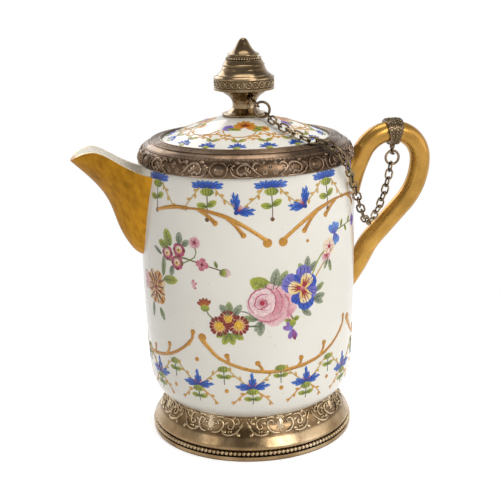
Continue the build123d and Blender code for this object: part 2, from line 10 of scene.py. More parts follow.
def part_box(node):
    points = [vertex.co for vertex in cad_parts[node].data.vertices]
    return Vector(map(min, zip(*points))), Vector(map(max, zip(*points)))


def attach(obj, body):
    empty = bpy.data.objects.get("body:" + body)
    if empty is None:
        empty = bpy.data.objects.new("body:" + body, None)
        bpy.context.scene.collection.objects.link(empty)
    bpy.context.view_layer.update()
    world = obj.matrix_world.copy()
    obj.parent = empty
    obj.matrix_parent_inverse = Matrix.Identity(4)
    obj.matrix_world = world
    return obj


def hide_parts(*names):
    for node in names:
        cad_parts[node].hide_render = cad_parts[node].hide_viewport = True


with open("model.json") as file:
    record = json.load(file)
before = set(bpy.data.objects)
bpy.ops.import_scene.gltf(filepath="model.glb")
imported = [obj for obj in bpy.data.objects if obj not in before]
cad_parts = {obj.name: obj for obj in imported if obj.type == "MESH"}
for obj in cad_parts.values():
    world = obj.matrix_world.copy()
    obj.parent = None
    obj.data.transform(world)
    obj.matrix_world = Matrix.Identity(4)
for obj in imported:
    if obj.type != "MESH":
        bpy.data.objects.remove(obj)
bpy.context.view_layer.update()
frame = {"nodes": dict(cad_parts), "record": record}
nodes = frame["nodes"]
random.seed(7)
print("frame loaded:", len(nodes), "nodes")

scene = bpy.context.scene
scene.view_settings.view_transform = "Standard"


# camera and stage

camera = {
    "azimuth": -12.0, "elevation": 15.4, "roll": -1.4,
    "target": (0.0, 0.0, 0.070), "distance": 0.4117,
    "lens": 78.09, "sensor": 36, "shift": (0.004, -0.00466), "near": 0.01,
}


def addCamera():
    a = math.radians(camera["azimuth"])
    e = math.radians(camera["elevation"])
    r = math.radians(camera["roll"])
    back = Vector((math.sin(a) * math.cos(e), -math.cos(a) * math.cos(e), math.sin(e)))
    right = Vector((math.cos(a), math.sin(a), 0))
    up = back.cross(right)
    rightTilted = right * math.cos(r) + up * math.sin(r)
    upTilted = up * math.cos(r) - right * math.sin(r)
    data = bpy.data.cameras.new("jugCamera")
    data.lens = camera["lens"]
    data.sensor_width = camera["sensor"]
    data.shift_x, data.shift_y = camera["shift"]
    data.clip_start = camera["near"]
    cam = bpy.data.objects.new("jugCamera", data)
    turn = Matrix((rightTilted, upTilted, back)).transposed().to_4x4()
    place = Vector(camera["target"]) + back * camera["distance"]
    cam.matrix_world = Matrix.Translation(place) @ turn
    scene.collection.objects.link(cam)
    scene.camera = cam


addCamera()

lamps = {
    # name: (position, size, watts, colour)
    "keyLamp": ((0.38, -0.86, 0.62), 0.55, 4.7, (1.0, 0.985, 0.955)),
    "leftLamp": ((-0.80, -0.35, 0.60), 0.30, 0.5, (1.0, 0.98, 0.95)),
    "fillLamp": ((0.80, -0.35, 0.35), 0.60, 1.2, (0.99, 0.99, 1.0)),
    "topLamp": ((0.05, 0.15, 0.95), 0.55, 2.4, (1.0, 1.0, 1.0)),
    "backLamp": ((-0.25, 0.80, 0.55), 0.60, 2.2, (1.0, 1.0, 1.0)),
}

for lampName, (place, size, watts, colour) in lamps.items():
    lampData = bpy.data.lights.new(lampName, "AREA")
    lampData.shape = "DISK"
    lampData.size = size
    lampData.energy = watts
    lampData.color = colour
    lamp = bpy.data.objects.new(lampName, lampData)
    lamp.visible_camera = False
    lamp.location = place
    towards = Vector(camera["target"]) - Vector(place)
    lamp.rotation_euler = towards.to_track_quat("-Z", "Y").to_euler()
    scene.collection.objects.link(lamp)


def newNode(tree, kind, **values):
    node = tree.nodes.new(kind)
    for key, value in values.items():
        if key in node.inputs:
            node.inputs[key].default_value = value
        else:
            setattr(node, key, value)
    return node


def ramp(tree, factor, stops):
    node = tree.nodes.new("ShaderNodeValToRGB")
    band = node.color_ramp
    while len(band.elements) < len(stops):
        band.elements.new(0.5)
    for element, (place, colour) in zip(band.elements, stops):
        element.position = place
        element.color = (*colour, 1.0)
    tree.links.new(factor, node.inputs["Fac"])
    return node.outputs["Color"]


def mixed(tree, factor, first, second, mode="MIX"):
    node = tree.nodes.new("ShaderNodeMix")
    node.data_type = "RGBA"
    node.blend_type = mode
    for socket, value in ((node.inputs[0], factor), (node.inputs[6], first), (node.inputs[7], second)):
        if isinstance(value, bpy.types.NodeSocket):
            tree.links.new(value, socket)
        elif isinstance(value, (int, float)):
            socket.default_value = value
        else:
            socket.default_value = (*value, 1.0)
    return node.outputs[2]


def spread(tree, factor, low, high, fromLow=0.3, fromHigh=0.7):
    node = newNode(tree, "ShaderNodeMapRange")
    node.inputs["From Min"].default_value = fromLow
    node.inputs["From Max"].default_value = fromHigh
    node.inputs["To Min"].default_value = low
    node.inputs["To Max"].default_value = high
    tree.links.new(factor, node.inputs["Value"])
    return node.outputs["Result"]


def seenRay(tree):
    # 1 for what the camera, metal and glass see, 0 for the light on the object
    path = newNode(tree, "ShaderNodeLightPath")
    found = path.outputs["Is Camera Ray"]
    for kind in ("Is Glossy Ray", "Is Transmission Ray"):
        either = newNode(tree, "ShaderNodeMath", operation="MAXIMUM")
        tree.links.new(found, either.inputs[0])
        tree.links.new(path.outputs[kind], either.inputs[1])
        found = either.outputs[0]
    return found


studio = {
    # the light on the object, by height, from the horizon to overhead
    "sky": ((0.0, (0.30, 0.29, 0.28)), (0.10, (0.34, 0.335, 0.33)), (0.45, (0.60, 0.60, 0.60)),
            (0.9, (0.85, 0.85, 0.86))),
    "skyStrength": 0.62,
    # what the camera, metal and glass see: white all round and greyer overhead
    "backdrop": ((0.30, (1, 1, 1)), (0.62, (0.30, 0.30, 0.31))),
}


def addWorld():
    world = bpy.data.worlds.new("studio")
    world.use_nodes = True
    tree = world.node_tree
    tree.nodes.clear()
    coord = newNode(tree, "ShaderNodeTexCoord")
    split = newNode(tree, "ShaderNodeSeparateXYZ")
    tree.links.new(coord.outputs["Generated"], split.inputs[0])
    soft = newNode(tree, "ShaderNodeBackground", Strength=studio["skyStrength"])
    tree.links.new(ramp(tree, split.outputs["Z"], studio["sky"]), soft.inputs["Color"])
    white = newNode(tree, "ShaderNodeBackground", Strength=1.0)
    tree.links.new(ramp(tree, split.outputs["Z"], studio["backdrop"]), white.inputs["Color"])
    mix = newNode(tree, "ShaderNodeMixShader")
    out = newNode(tree, "ShaderNodeOutputWorld")
    tree.links.new(seenRay(tree), mix.inputs[0])
    tree.links.new(soft.outputs[0], mix.inputs[1])
    tree.links.new(white.outputs[0], mix.inputs[2])
    tree.links.new(mix.outputs[0], out.inputs["Surface"])
    scene.world = world


addWorld()


floorLook = {
    "radius": 2.5, "below": 0.00005, "colour": (0.80, 0.80, 0.80), "roughness": 0.9,
    # added for what the camera and metal see, near the jug
    "glow": 0.50,
    # metres from the jug over which the floor turns plain white
    "whiteFrom": 0.09, "whiteTo": 0.20,
}


def makePaleFloor():
    material = bpy.data.materials.new("paleFloor")
    material.use_nodes = True
    tree = material.node_tree
    bsdf = tree.nodes["Principled BSDF"]
    bsdf.inputs["Base Color"].default_value = (*floorLook["colour"], 1)
    bsdf.inputs["Roughness"].default_value = floorLook["roughness"]
    bsdf.inputs["Specular IOR Level"].default_value = 0.0
    seen = seenRay(tree)
    # near the jug: the floor with its shadow, and a glow on top where it is seen
    glow = newNode(tree, "ShaderNodeEmission", Color=(1, 1, 1, 1), Strength=floorLook["glow"])
    pick = newNode(tree, "ShaderNodeMixShader")
    tree.links.new(seen, pick.inputs[0])
    tree.links.new(glow.outputs[0], pick.inputs[2])
    near = newNode(tree, "ShaderNodeAddShader")
    tree.links.new(bsdf.outputs[0], near.inputs[0])
    tree.links.new(pick.outputs[0], near.inputs[1])
    # away from the jug: plain white where it is seen
    coord = newNode(tree, "ShaderNodeTexCoord")
    away = newNode(tree, "ShaderNodeVectorMath", operation="LENGTH")
    tree.links.new(coord.outputs["Object"], away.inputs[0])
    far = spread(tree, away.outputs["Value"], 0.0, 1.0, floorLook["whiteFrom"], floorLook["whiteTo"])
    seenFar = newNode(tree, "ShaderNodeMath", operation="MULTIPLY")
    tree.links.new(far, seenFar.inputs[0])
    tree.links.new(seen, seenFar.inputs[1])
    white = newNode(tree, "ShaderNodeEmission", Color=(1, 1, 1, 1), Strength=1.0)
    ends = newNode(tree, "ShaderNodeMixShader")
    tree.links.new(seenFar.outputs[0], ends.inputs[0])
    tree.links.new(near.outputs[0], ends.inputs[1])
    tree.links.new(white.outputs[0], ends.inputs[2])
    tree.links.new(ends.outputs[0], tree.nodes["Material Output"].inputs["Surface"])
    return material


def addFloor():
    bm = bmesh.new()
    bmesh.ops.create_circle(bm, cap_ends=True, segments=64, radius=floorLook["radius"])
    bmesh.ops.translate(bm, verts=bm.verts, vec=(0, 0, -floorLook["below"]))
    mesh = bpy.data.meshes.new("floor")
    bm.to_mesh(mesh)
    bm.free()
    floor = bpy.data.objects.new("floor", mesh)
    scene.collection.objects.link(floor)
    mesh.materials.append(makePaleFloor())


addFloor()
print("camera, lamps and floor set")


# materials

def newMaterial(name):
    material = bpy.data.materials.new(name)
    material.use_nodes = True
    tree = material.node_tree
    coord = newNode(tree, "ShaderNodeTexCoord")
    return material, tree, tree.nodes["Principled BSDF"], coord.outputs["Object"]


def noise(tree, vector, scale, detail, stretch=None):
    if stretch:
        mapping = newNode(tree, "ShaderNodeMapping", Scale=stretch)
        tree.links.new(vector, mapping.inputs["Vector"])
        vector = mapping.outputs["Vector"]
    node = newNode(tree, "ShaderNodeTexNoise", Scale=scale, Detail=detail)
    tree.links.new(vector, node.inputs["Vector"])
    return node.outputs["Fac"]


def addBump(tree, bsdf, height, strength, distance):
    bump = newNode(tree, "ShaderNodeBump", Strength=strength, Distance=distance)
    tree.links.new(height, bump.inputs["Height"])
    tree.links.new(bump.outputs["Normal"], bsdf.inputs["Normal"])


porcelain = {
    "light": (0.860, 0.825, 0.745), "shade": (0.800, 0.765, 0.680), "cloudScale": 26.0,
    "speck": (0.60, 0.55, 0.45), "speckScale": 900.0, "speckFrom": 0.74, "speckTo": 0.80,
    "roughLow": 0.10, "roughHigh": 0.20, "roughScale": 300.0, "glaze": 1.52,
    "rippleScale": 60.0, "rippleStrength": 0.06, "rippleDepth": 0.0006,
}


def makePorcelain():
    look = porcelain
    material, tree, bsdf, place = newMaterial("porcelain")
    cloud = noise(tree, place, look["cloudScale"], 4.0)
    base = ramp(tree, cloud, ((0.30, look["shade"]), (0.62, look["light"])))
    specks = noise(tree, place, look["speckScale"], 1.0)
    mask = ramp(tree, specks, ((look["speckFrom"], (0, 0, 0)), (look["speckTo"], (1, 1, 1))))
    base = mixed(tree, mask, base, look["speck"])
    tree.links.new(base, bsdf.inputs["Base Color"])
    fine = noise(tree, place, look["roughScale"], 3.0)
    tree.links.new(spread(tree, fine, look["roughLow"], look["roughHigh"]), bsdf.inputs["Roughness"])
    bsdf.inputs["IOR"].default_value = look["glaze"]
    ripple = noise(tree, place, look["rippleScale"], 2.0)
    addBump(tree, bsdf, ripple, look["rippleStrength"], look["rippleDepth"])
    return material


enamels = {
    "enamel": {"roughness": 0.24, "metallic": 0.0},
    "gilding": {"roughness": 0.32, "metallic": 0.20},
}
brushwork = {"scale": 1400.0, "thin": (0.72, 0.72, 0.74), "glaze": 1.5}


def makeEnamel(name):
    # colour comes from the strokes' own paint attribute, broken up as brushwork is
    look = enamels[name]
    material, tree, bsdf, place = newMaterial(name)
    paint = newNode(tree, "ShaderNodeAttribute", attribute_name="paint")
    streak = noise(tree, place, brushwork["scale"], 3.0)
    worn = ramp(tree, streak, ((0.30, brushwork["thin"]), (0.66, (1, 1, 1))))
    base = mixed(tree, 1.0, paint.outputs["Color"], worn, "MULTIPLY")
    tree.links.new(base, bsdf.inputs["Base Color"])
    rough = look["roughness"]
    tree.links.new(spread(tree, streak, rough * 0.8, rough * 1.25), bsdf.inputs["Roughness"])
    bsdf.inputs["Metallic"].default_value = look["metallic"]
    bsdf.inputs["IOR"].default_value = brushwork["glaze"]
    return material


golds = {
    # grain is the scale of the brush marks along x, y and z, and rubbed the colour in them
    "spoutGold": {"light": (0.504, 0.235, 0.012), "dark": (0.270, 0.118, 0.005),
                  "rubbed": (0.50, 0.44, 0.32), "roughness": 0.34, "metallic": 0.85,
                  "grain": (330, 700, 190)},
    "handleGold": {"light": (0.660, 0.370, 0.075), "dark": (0.400, 0.200, 0.035),
                   "rubbed": (0.70, 0.66, 0.58), "roughness": 0.26, "metallic": 0.70,
                   "grain": (60, 900, 160)},
    "lipGold": {"light": (0.850, 0.620, 0.270), "dark": (0.640, 0.420, 0.140),
                "rubbed": (0.70, 0.66, 0.58), "roughness": 0.22, "metallic": 0.75,
                "grain": (200, 500, 200)},
}
goldCloudScale = 42.0


def makeGold(name):
    look = golds[name]
    material, tree, bsdf, place = newMaterial(name)
    cloud = noise(tree, place, goldCloudScale, 5.0)
    base = ramp(tree, cloud, ((0.30, look["dark"]), (0.66, look["light"])))
    hair = noise(tree, place, 1.0, 4.0, look["grain"])
    worn = ramp(tree, hair, ((0.30, look["rubbed"]), (0.60, (1, 1, 1))))
    base = mixed(tree, 0.75, base, worn, "MULTIPLY")
    tree.links.new(base, bsdf.inputs["Base Color"])
    rough = look["roughness"]
    tree.links.new(spread(tree, hair, rough * 0.8, rough * 1.3), bsdf.inputs["Roughness"])
    bsdf.inputs["Metallic"].default_value = look["metallic"]
    addBump(tree, bsdf, hair, 0.22, 0.0003)
    return material


silvers = {
    # recess is how near another surface tarnish counts as a hollow, in metres
    # ground is the band of heights whose field is darkened as painted shade, in millimetres
    "rimSilver": {"dark": (0.090, 0.056, 0.033), "middle": (0.225, 0.148, 0.094),
                  "bright": (0.390, 0.285, 0.200), "roughness": 0.30, "recess": 0.0016,
                  "ground": (104.5, 110.3)},
    # a lighter copy of rimSilver for the raised chasing and milling: painted highlight
    "raisedRimHighlight": {"dark": (0.110, 0.070, 0.042), "middle": (0.270, 0.185, 0.125),
                  "bright": (0.480, 0.370, 0.270), "roughness": 0.26, "recess": 0.0007},
    "footSilver": {"dark": (0.170, 0.103, 0.046), "middle": (0.330, 0.222, 0.116),
                   "bright": (0.500, 0.375, 0.235), "roughness": 0.26, "recess": 0.0008,
                   "ground": (7.9, 15.5)},
    # a lighter copy of footSilver for the foot's chasing and beads: painted highlight
    "raisedFootHighlight": {"dark": (0.240, 0.155, 0.078), "middle": (0.440, 0.325, 0.190),
                   "bright": (0.660, 0.530, 0.360), "roughness": 0.22, "recess": 0.0005},
    "finialSilver": {"dark": (0.095, 0.057, 0.025), "middle": (0.275, 0.190, 0.103),
                     "bright": (0.520, 0.415, 0.280), "roughness": 0.19, "recess": 0.0006},
    "bandSilver": {"dark": (0.095, 0.057, 0.025), "middle": (0.275, 0.190, 0.103),
                   "bright": (0.520, 0.415, 0.280), "roughness": 0.20, "recess": 0.0006,
                   "ground": (130.9, 134.2)},
    # a lighter copy of finialSilver for the finial's beads and band work: painted highlight
    "raisedFinialHighlight": {"dark": (0.120, 0.080, 0.040), "middle": (0.360, 0.270, 0.160),
                     "bright": (0.620, 0.520, 0.370), "roughness": 0.20, "recess": 0.0004},
    "collarSilver": {"dark": (0.075, 0.048, 0.022), "middle": (0.220, 0.160, 0.095),
                     "bright": (0.400, 0.320, 0.220), "roughness": 0.28, "recess": 0.0016},
    "chainSilver": {"dark": (0.060, 0.038, 0.018), "middle": (0.240, 0.170, 0.095),
                    "bright": (0.500, 0.400, 0.260), "roughness": 0.20, "recess": 0.0016},
    "plainSilver": {"dark": (0.400, 0.380, 0.340), "middle": (0.560, 0.540, 0.500),
                    "bright": (0.680, 0.660, 0.620), "roughness": 0.25, "recess": 0.0016},
}
# field darkens the ground between the chasing: painted shade
tarnishAndShade = {"scale": 70.0, "hollow": 0.60, "field": (0.56, 0.52, 0.48), "grainScale": 420.0}


def shadedField(tree, place, base, ground):
    # the field behind the chasing is darkened between two heights, as painted shade between the raised relief
    low, high = (level / 1000 for level in ground)
    fade = 0.0005
    split = newNode(tree, "ShaderNodeSeparateXYZ")
    tree.links.new(place, split.inputs[0])
    rise = spread(tree, split.outputs["Z"], 0.0, 1.0, low, low + fade)
    fall = spread(tree, split.outputs["Z"], 1.0, 0.0, high - fade, high)
    band = newNode(tree, "ShaderNodeMath", operation="MULTIPLY")
    tree.links.new(rise, band.inputs[0])
    tree.links.new(fall, band.inputs[1])
    field = mixed(tree, 1.0, base, tarnishAndShade["field"], "MULTIPLY")
    return mixed(tree, band.outputs[0], base, field)


def makeSilver(name):
    look = silvers[name]
    material, tree, bsdf, place = newMaterial(name)
    cloud = noise(tree, place, tarnishAndShade["scale"], 6.0)
    base = ramp(tree, cloud, ((0.28, look["dark"]), (0.50, look["middle"]), (0.70, look["bright"])))
    # tarnish stays in the hollows and wears off what stands proud
    hollow = newNode(tree, "ShaderNodeAmbientOcclusion", Distance=look["recess"], samples=8)
    depth = ramp(tree, hollow.outputs["AO"], ((0.35, (0, 0, 0)), (0.92, (1, 1, 1))))
    base = mixed(tree, depth, tuple(part * tarnishAndShade["hollow"] for part in look["dark"]), base)
    # painted shade on the field between the chasing
    if "ground" in look:
        base = shadedField(tree, place, base, look["ground"])
    tree.links.new(base, bsdf.inputs["Base Color"])
    bsdf.inputs["Metallic"].default_value = 1.0
    fine = noise(tree, place, tarnishAndShade["grainScale"], 4.0)
    rough = look["roughness"]
    tree.links.new(spread(tree, fine, rough * 0.7, rough * 1.4), bsdf.inputs["Roughness"])
    addBump(tree, bsdf, fine, 0.20, 0.0002)
    return material


plaster = {"dark": (0.62, 0.58, 0.50), "light": (0.82, 0.79, 0.72), "scale": 700.0, "roughness": 0.85}


def makePlaster():
    material, tree, bsdf, place = newMaterial("plaster")
    grain = noise(tree, place, plaster["scale"], 4.0)
    base = ramp(tree, grain, ((0.3, plaster["dark"]), (0.7, plaster["light"])))
    tree.links.new(base, bsdf.inputs["Base Color"])
    bsdf.inputs["Roughness"].default_value = plaster["roughness"]
    addBump(tree, bsdf, grain, 0.4, 0.0003)
    return material


# finishes of the CAD nodes, by the slot's name in the record
finishes = {
    "porcelain": makePorcelain(),
    "plaster": makePlaster(),
    "spout_gold": makeGold("spoutGold"),
    "handle_gold": makeGold("handleGold"),
    "rim_silver": makeSilver("rimSilver"),
    "foot_silver": makeSilver("footSilver"),
    "finial_silver": makeSilver("finialSilver"),
    "collar_silver": makeSilver("collarSilver"),
    "chain_silver": makeSilver("chainSilver"),
    "plain_silver": makeSilver("plainSilver"),
}
# finishes of pieces that are made below
enamel = makeEnamel("enamel")
gilding = makeEnamel("gilding")
lipGold = makeGold("lipGold")
# the finial's silver, with the field of its band darkened as painted shade
bandSilver = makeSilver("bandSilver")
# lighter copies of the silvers for what stands proud: painted highlight
raisedRimHighlight = makeSilver("raisedRimHighlight")
raisedFootHighlight = makeSilver("raisedFootHighlight")
raisedFinialHighlight = makeSilver("raisedFinialHighlight")

for subpart in frame["record"]["subparts"]:
    cadNode = nodes[subpart["node"]]
    for slotOfNode in cadNode.material_slots:
        slotOfNode.material = finishes[subpart["material_slot"]]
print("finishes on", len(nodes), "nodes")


# surfaces that the decoration lies on; sizes below are in millimetres

def surfaceOf(nodeName):
    bm = bmesh.new()
    bm.from_mesh(nodes[nodeName].data)
    tree = BVHTree.FromBMesh(bm)
    bm.free()
    return tree


decorated = ("jug_body", "lid_dome", "rim_mount", "foot_mount", "lid_mount", "handle_collar")
surfaces = {name: surfaceOf(name) for name in decorated}

casting = {
    # metres: where rays start, and where a mark that misses its surface is hidden
    "side": 0.07, "sideMissed": 0.028, "top": 0.2, "topMissed": 0.11,
    # how far marks keep from a surface's lowest and highest level
    "edge": 0.0003,
}
levels = {}
for surfaceName in decorated:
    lowCorner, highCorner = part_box(surfaceName)
    levels[surfaceName] = (lowCorner[2] + casting["edge"], highCorner[2] - casting["edge"])


def onSide(name, azimuth, height, lift):
    # from outside towards the axis, never past the surface's own edges
    a = math.radians(azimuth)
    low, high = levels[name]
    outward = Vector((math.cos(a), math.sin(a), 0))
    level = Vector((0, 0, min(high, max(low, height / 1000))))
    place, normal = surfaces[name].ray_cast(level + outward * casting["side"], -outward)[:2]
    if place is None:
        return level + outward * casting["sideMissed"]
    return place + normal * (lift / 1000)


def onTop(name, azimuth, radius, lift):
    # from above, downwards
    a = math.radians(azimuth)
    x, y = math.cos(a) * radius / 1000, math.sin(a) * radius / 1000
    place, normal = surfaces[name].ray_cast(Vector((x, y, casting["top"])), Vector((0, 0, -1)))[:2]
    if place is None:
        return Vector((x, y, casting["topMissed"]))
    return place + normal * (lift / 1000)


def pen(surface, azimuth, level, flip=1):
    # a place to draw at: u runs to the right and v upwards, on the lid towards its middle
    return {"surface": surface, "azimuth": azimuth, "level": level, "flip": flip}


wallRadius = {"jug_body": 39.8, "rim_mount": 39.4, "foot_mount": 35.0}
wallDegree = 0.695  # millimetres round the jug's wall for one degree


def spot(at, u, v, lift):
    # the point at (u, v) from the pen's place, lifted off the surface
    name = at["surface"]
    x = u * at["flip"]
    if name in wallRadius:
        turn = math.degrees(x / wallRadius[name])
        return onSide(name, at["azimuth"] + turn, at["level"] + v, lift)
    turn = math.degrees(x / at["level"])
    return onTop(name, at["azimuth"] + turn, at["level"] - v, lift)


def tone(red, green, blue):
    # a colour as a paint chart gives it, made linear
    out = []
    for part in (red, green, blue):
        c = part / 255
        out.append(c / 12.92 if c < 0.04045 else ((c + 0.055) / 1.055) ** 2.4)
    return tuple(out)


def blend(first, second, share):
    share = min(1.0, max(0.0, share))
    return tuple(a + (b - a) * share for a, b in zip(first, second))


paints = {
    "blueDeep": tone(22, 56, 148), "blue": tone(34, 92, 196), "bluePale": tone(98, 156, 226),
    "green": tone(120, 138, 52), "greenDark": tone(78, 92, 40), "greenYellow": tone(188, 190, 70),
    "greenPale": tone(180, 188, 124), "greyGreen": tone(176, 182, 156), "greyDark": tone(116, 128, 100),
    "pinkLight": tone(252, 230, 228), "pinkPale": tone(246, 208, 208), "pink": tone(232, 158, 168),
    "rose": tone(206, 102, 128), "crimson": tone(172, 34, 52), "redBrown": tone(138, 36, 22),
    "maroon": tone(132, 32, 50), "violet": tone(78, 72, 166), "violetPale": tone(136, 130, 210),
    "purple": tone(150, 92, 176), "yellow": tone(238, 196, 60), "cream": tone(250, 232, 190),
    "orange": tone(214, 122, 40), "brown": tone(112, 74, 38), "gold": tone(216, 158, 62),
    "goldDark": tone(184, 124, 40), "goldPale": tone(206, 174, 100),
}


def patchSeed():
    # a low closed disc with a ring and a middle point in its top
    bm = bmesh.new()
    bmesh.ops.create_cone(bm, cap_ends=True, cap_tris=False, segments=12, radius1=1, radius2=1, depth=1)
    top = [f for f in bm.faces if f.normal.z > 0.9]
    bmesh.ops.inset_individual(bm, faces=top, thickness=0.42)
    bmesh.ops.poke(bm, faces=top)
    for face in bm.faces:
        face.smooth = True
    for edge in bm.edges:
        if all(abs(v.co.z - 0.5) < 1e-4 and v.co.xy.length > 0.9 for v in edge.verts):
            edge.smooth = False
    bm.verts.layers.float_color.new("paint")
    mesh = bpy.data.meshes.new("patchSeed")
    bm.to_mesh(mesh)
    bm.free()
    return mesh


def strokeSeed(spans):
    # a six-sided bar, cut across along its length
    bm = bmesh.new()
    bmesh.ops.create_cone(bm, cap_ends=True, cap_tris=False, segments=6, radius1=1, radius2=1, depth=1)
    longEdges = [e for e in bm.edges if abs(e.verts[0].co.z - e.verts[1].co.z) > 0.5]
    bmesh.ops.subdivide_edges(bm, edges=longEdges, cuts=spans - 1)
    for face in bm.faces:
        face.smooth = len(face.verts) == 4
    bm.verts.layers.float_color.new("paint")
    mesh = bpy.data.meshes.new("strokeSeed")
    bm.to_mesh(mesh)
    bm.free()
    return mesh


seeds = {"patch": patchSeed(), "short": strokeSeed(5), "long": strokeSeed(16)}
lifts = {
    # millimetres over the surface: a petal's edge, a stroke's middle, every mark's root, each further layer
    "petal": 0.07, "stroke": 0.075, "root": -0.08, "layer": 0.035,
}


def stamp(piece, seed, placeVertex):
    piece.from_mesh(seed)
    piece.verts.ensure_lookup_table()
    fresh = piece.verts[len(piece.verts) - len(seed.vertices):]
    layer = piece.verts.layers.float_color["paint"]
    for vert in fresh:
        where, colour = placeVertex(vert.co.copy())
        vert.co = where
        vert[layer] = (*colour, 1.0)


def petal(piece, at, u, v, heading, length, width, near, far, layer=0, point=1.15, flare=0.0, crown=0.03,
          base=lifts["petal"]):
    # one brush mark from (u, v), coloured from near to far; heading 0 points up, and 90 to the right
    # point sharpens the ends, flare widens the far one, and crown is how much the middle swells
    h = math.radians(heading)
    edgeLift = base + lifts["layer"] * layer

    def place(co):
        flat = math.hypot(co.x, co.y)
        t = math.atan2(co.y, co.x)
        along = (1 + flat * math.sin(t)) / 2
        side = math.copysign(abs(math.cos(t)) ** point, math.cos(t)) * flat
        across = side * width / 2 * (1 + flare * (2 * along - 1))
        x = u + across * math.cos(h) + along * length * math.sin(h)
        y = v - across * math.sin(h) + along * length * math.cos(h)
        if co.z < 0:
            lift = lifts["root"]
        elif flat > 0.9:
            lift = edgeLift
        else:
            lift = edgeLift + crown * (1 - flat * flat)
        return spot(at, x, y, lift), blend(near, far, along if flat > 0.3 else along - 0.1)

    stamp(piece, seeds["patch"], place)


def dot(piece, at, u, v, radius, colour, edge=None, layer=0, crown=0.12):
    wide = radius * 2
    petal(piece, at, u, v - radius, 0, wide, wide, edge or colour, colour, layer, point=1.0, crown=crown)


def curvePoint(points, s):
    # a smooth curve through the points, s from 0 to 1
    last = len(points) - 1
    place = min(s * last, last - 1e-6)
    i = int(place)
    t = place - i
    p1, p2 = Vector(points[i]), Vector(points[i + 1])
    p0 = Vector(points[i - 1]) if i > 0 else p1 * 2 - p2
    p3 = Vector(points[i + 2]) if i + 2 <= last else p2 * 2 - p1
    here = 0.5 * ((2 * p1) + (p2 - p0) * t + (2 * p0 - 5 * p1 + 4 * p2 - p3) * t * t
                  + (3 * p1 - p0 - 3 * p2 + p3) * t ** 3)
    ahead = 0.5 * ((p2 - p0) + 2 * (2 * p0 - 5 * p1 + 4 * p2 - p3) * t
                   + 3 * (3 * p1 - p0 - 3 * p2 + p3) * t * t)
    return here, ahead.normalized() if ahead.length > 1e-9 else Vector((0, 1))


def stroke(piece, at, points, widths, near, far=None, layer=0, height=0.10, seed="short"):
    # a raised line along the points, as wide as widths say on the way
    far = far or near

    def place(co):
        s = co.z + 0.5
        t = math.atan2(co.y, co.x)
        here, ahead = curvePoint(points, s)
        step = s * (len(widths) - 1)
        i = min(int(step), len(widths) - 2)
        half = (widths[i] + (widths[i + 1] - widths[i]) * (step - i)) / 2
        across = math.cos(t) * half
        x = here.x + across * ahead.y
        y = here.y - across * ahead.x
        if math.sin(t) > -0.1:
            lift = lifts["stroke"] + lifts["layer"] * layer + math.sin(t) * height
        else:
            lift = lifts["root"]
        return spot(at, x, y, lift), blend(near, far, s)

    stamp(piece, seeds[seed], place)


def finishPiece(piece, name, material, body, replaced=()):
    bmesh.ops.recalc_face_normals(piece, faces=piece.faces)
    mesh = bpy.data.meshes.new(name)
    piece.to_mesh(mesh)
    piece.free()
    mesh.materials.append(material)
    obj = bpy.data.objects.new(name, mesh)
    scene.collection.objects.link(obj)
    if replaced:
        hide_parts(*replaced)
    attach(obj, body)
    print(name, "has", len(mesh.polygons), "faces")


# motifs

def onward(u, v, heading, reach):
    # the point that lies reach away, with heading 0 upwards and 90 to the right
    h = math.radians(heading)
    return u + math.sin(h) * reach, v + math.cos(h) * reach


def mirrored(points, side):
    return [(side * u, v) for u, v in points]


leafColours = {
    "green": (paints["green"], paints["greenYellow"]),
    "palest": (paints["green"], paints["greenPale"]),
    "misty": (paints["green"], paints["greyGreen"]),
    "grey": (paints["greyDark"], paints["greyGreen"]),
    "greyPale": (paints["greyDark"], paints["greenPale"]),
}
veins = {
    "colour": (0.03, 0.04, 0.02), "share": 0.55,
    # where the pairs branch off along the leaf, at what angle, and how far they reach across it
    "first": 0.28, "step": 0.2, "angle": 48.7, "reach": 0.36,
}


def leaf(piece, at, u, v, heading, length, width, kind, pairs=3, layer=1):
    near, far = leafColours[kind]
    petal(piece, at, u, v, heading, length, width, near, far, layer, 1.3)
    dark = blend(near, veins["colour"], veins["share"])
    tip = onward(u, v, heading, length * 0.9)
    stroke(piece, at, [(u, v), tip], (0.32, 0.12), dark, layer=layer + 1, height=0.05)
    for k in range(pairs):
        x, y = onward(u, v, heading, length * (veins["first"] + veins["step"] * k))
        for side in (-1, 1):
            end = onward(x, y, heading + side * veins["angle"], width * veins["reach"])
            stroke(piece, at, [(x, y), end], (0.22, 0.08), dark, layer=layer + 1, height=0.04)


def twig(piece, at, points, colour, buds=4, budSize=1.5, side=1):
    stroke(piece, at, points, (0.62, 0.52, 0.42), colour, height=0.07)
    for k in range(buds):
        here, ahead = curvePoint(points, (k + 0.7) / (buds + 0.3))
        lean = 38 if (k + side) % 2 else -38
        heading = math.degrees(math.atan2(ahead.x, ahead.y)) + lean
        petal(piece, at, here.x, here.y, heading, budSize * 1.2, 0.85, paints["gold"], colour, 1, 1.25)


def bluePetals(piece, at, u, v, headings, lengths, width):
    deep, blue, pale = paints["blueDeep"], paints["blue"], paints["bluePale"]
    for k, (heading, length) in enumerate(zip(headings, lengths)):
        petal(piece, at, u, v, heading, length, width, deep, blue, k % 3, 1.35, 0.30)
        # a paler mark down the petal, and a second one for its toothed end
        x, y = onward(u, v, heading, length * 0.45)
        petal(piece, at, x, y, heading + 3, length * 0.50, width * 0.36, blue, pale, 3, 1.4)
        petal(piece, at, x, y, heading - 12, length * 0.46, width * 0.36, deep, blue, 3, 1.4)


def nearSpout(azimuth, margin):
    return abs((azimuth + 360) % 360 - 180) < margin


# the upper frieze: cornflower heads under the rim, with twigs and half flowers between them

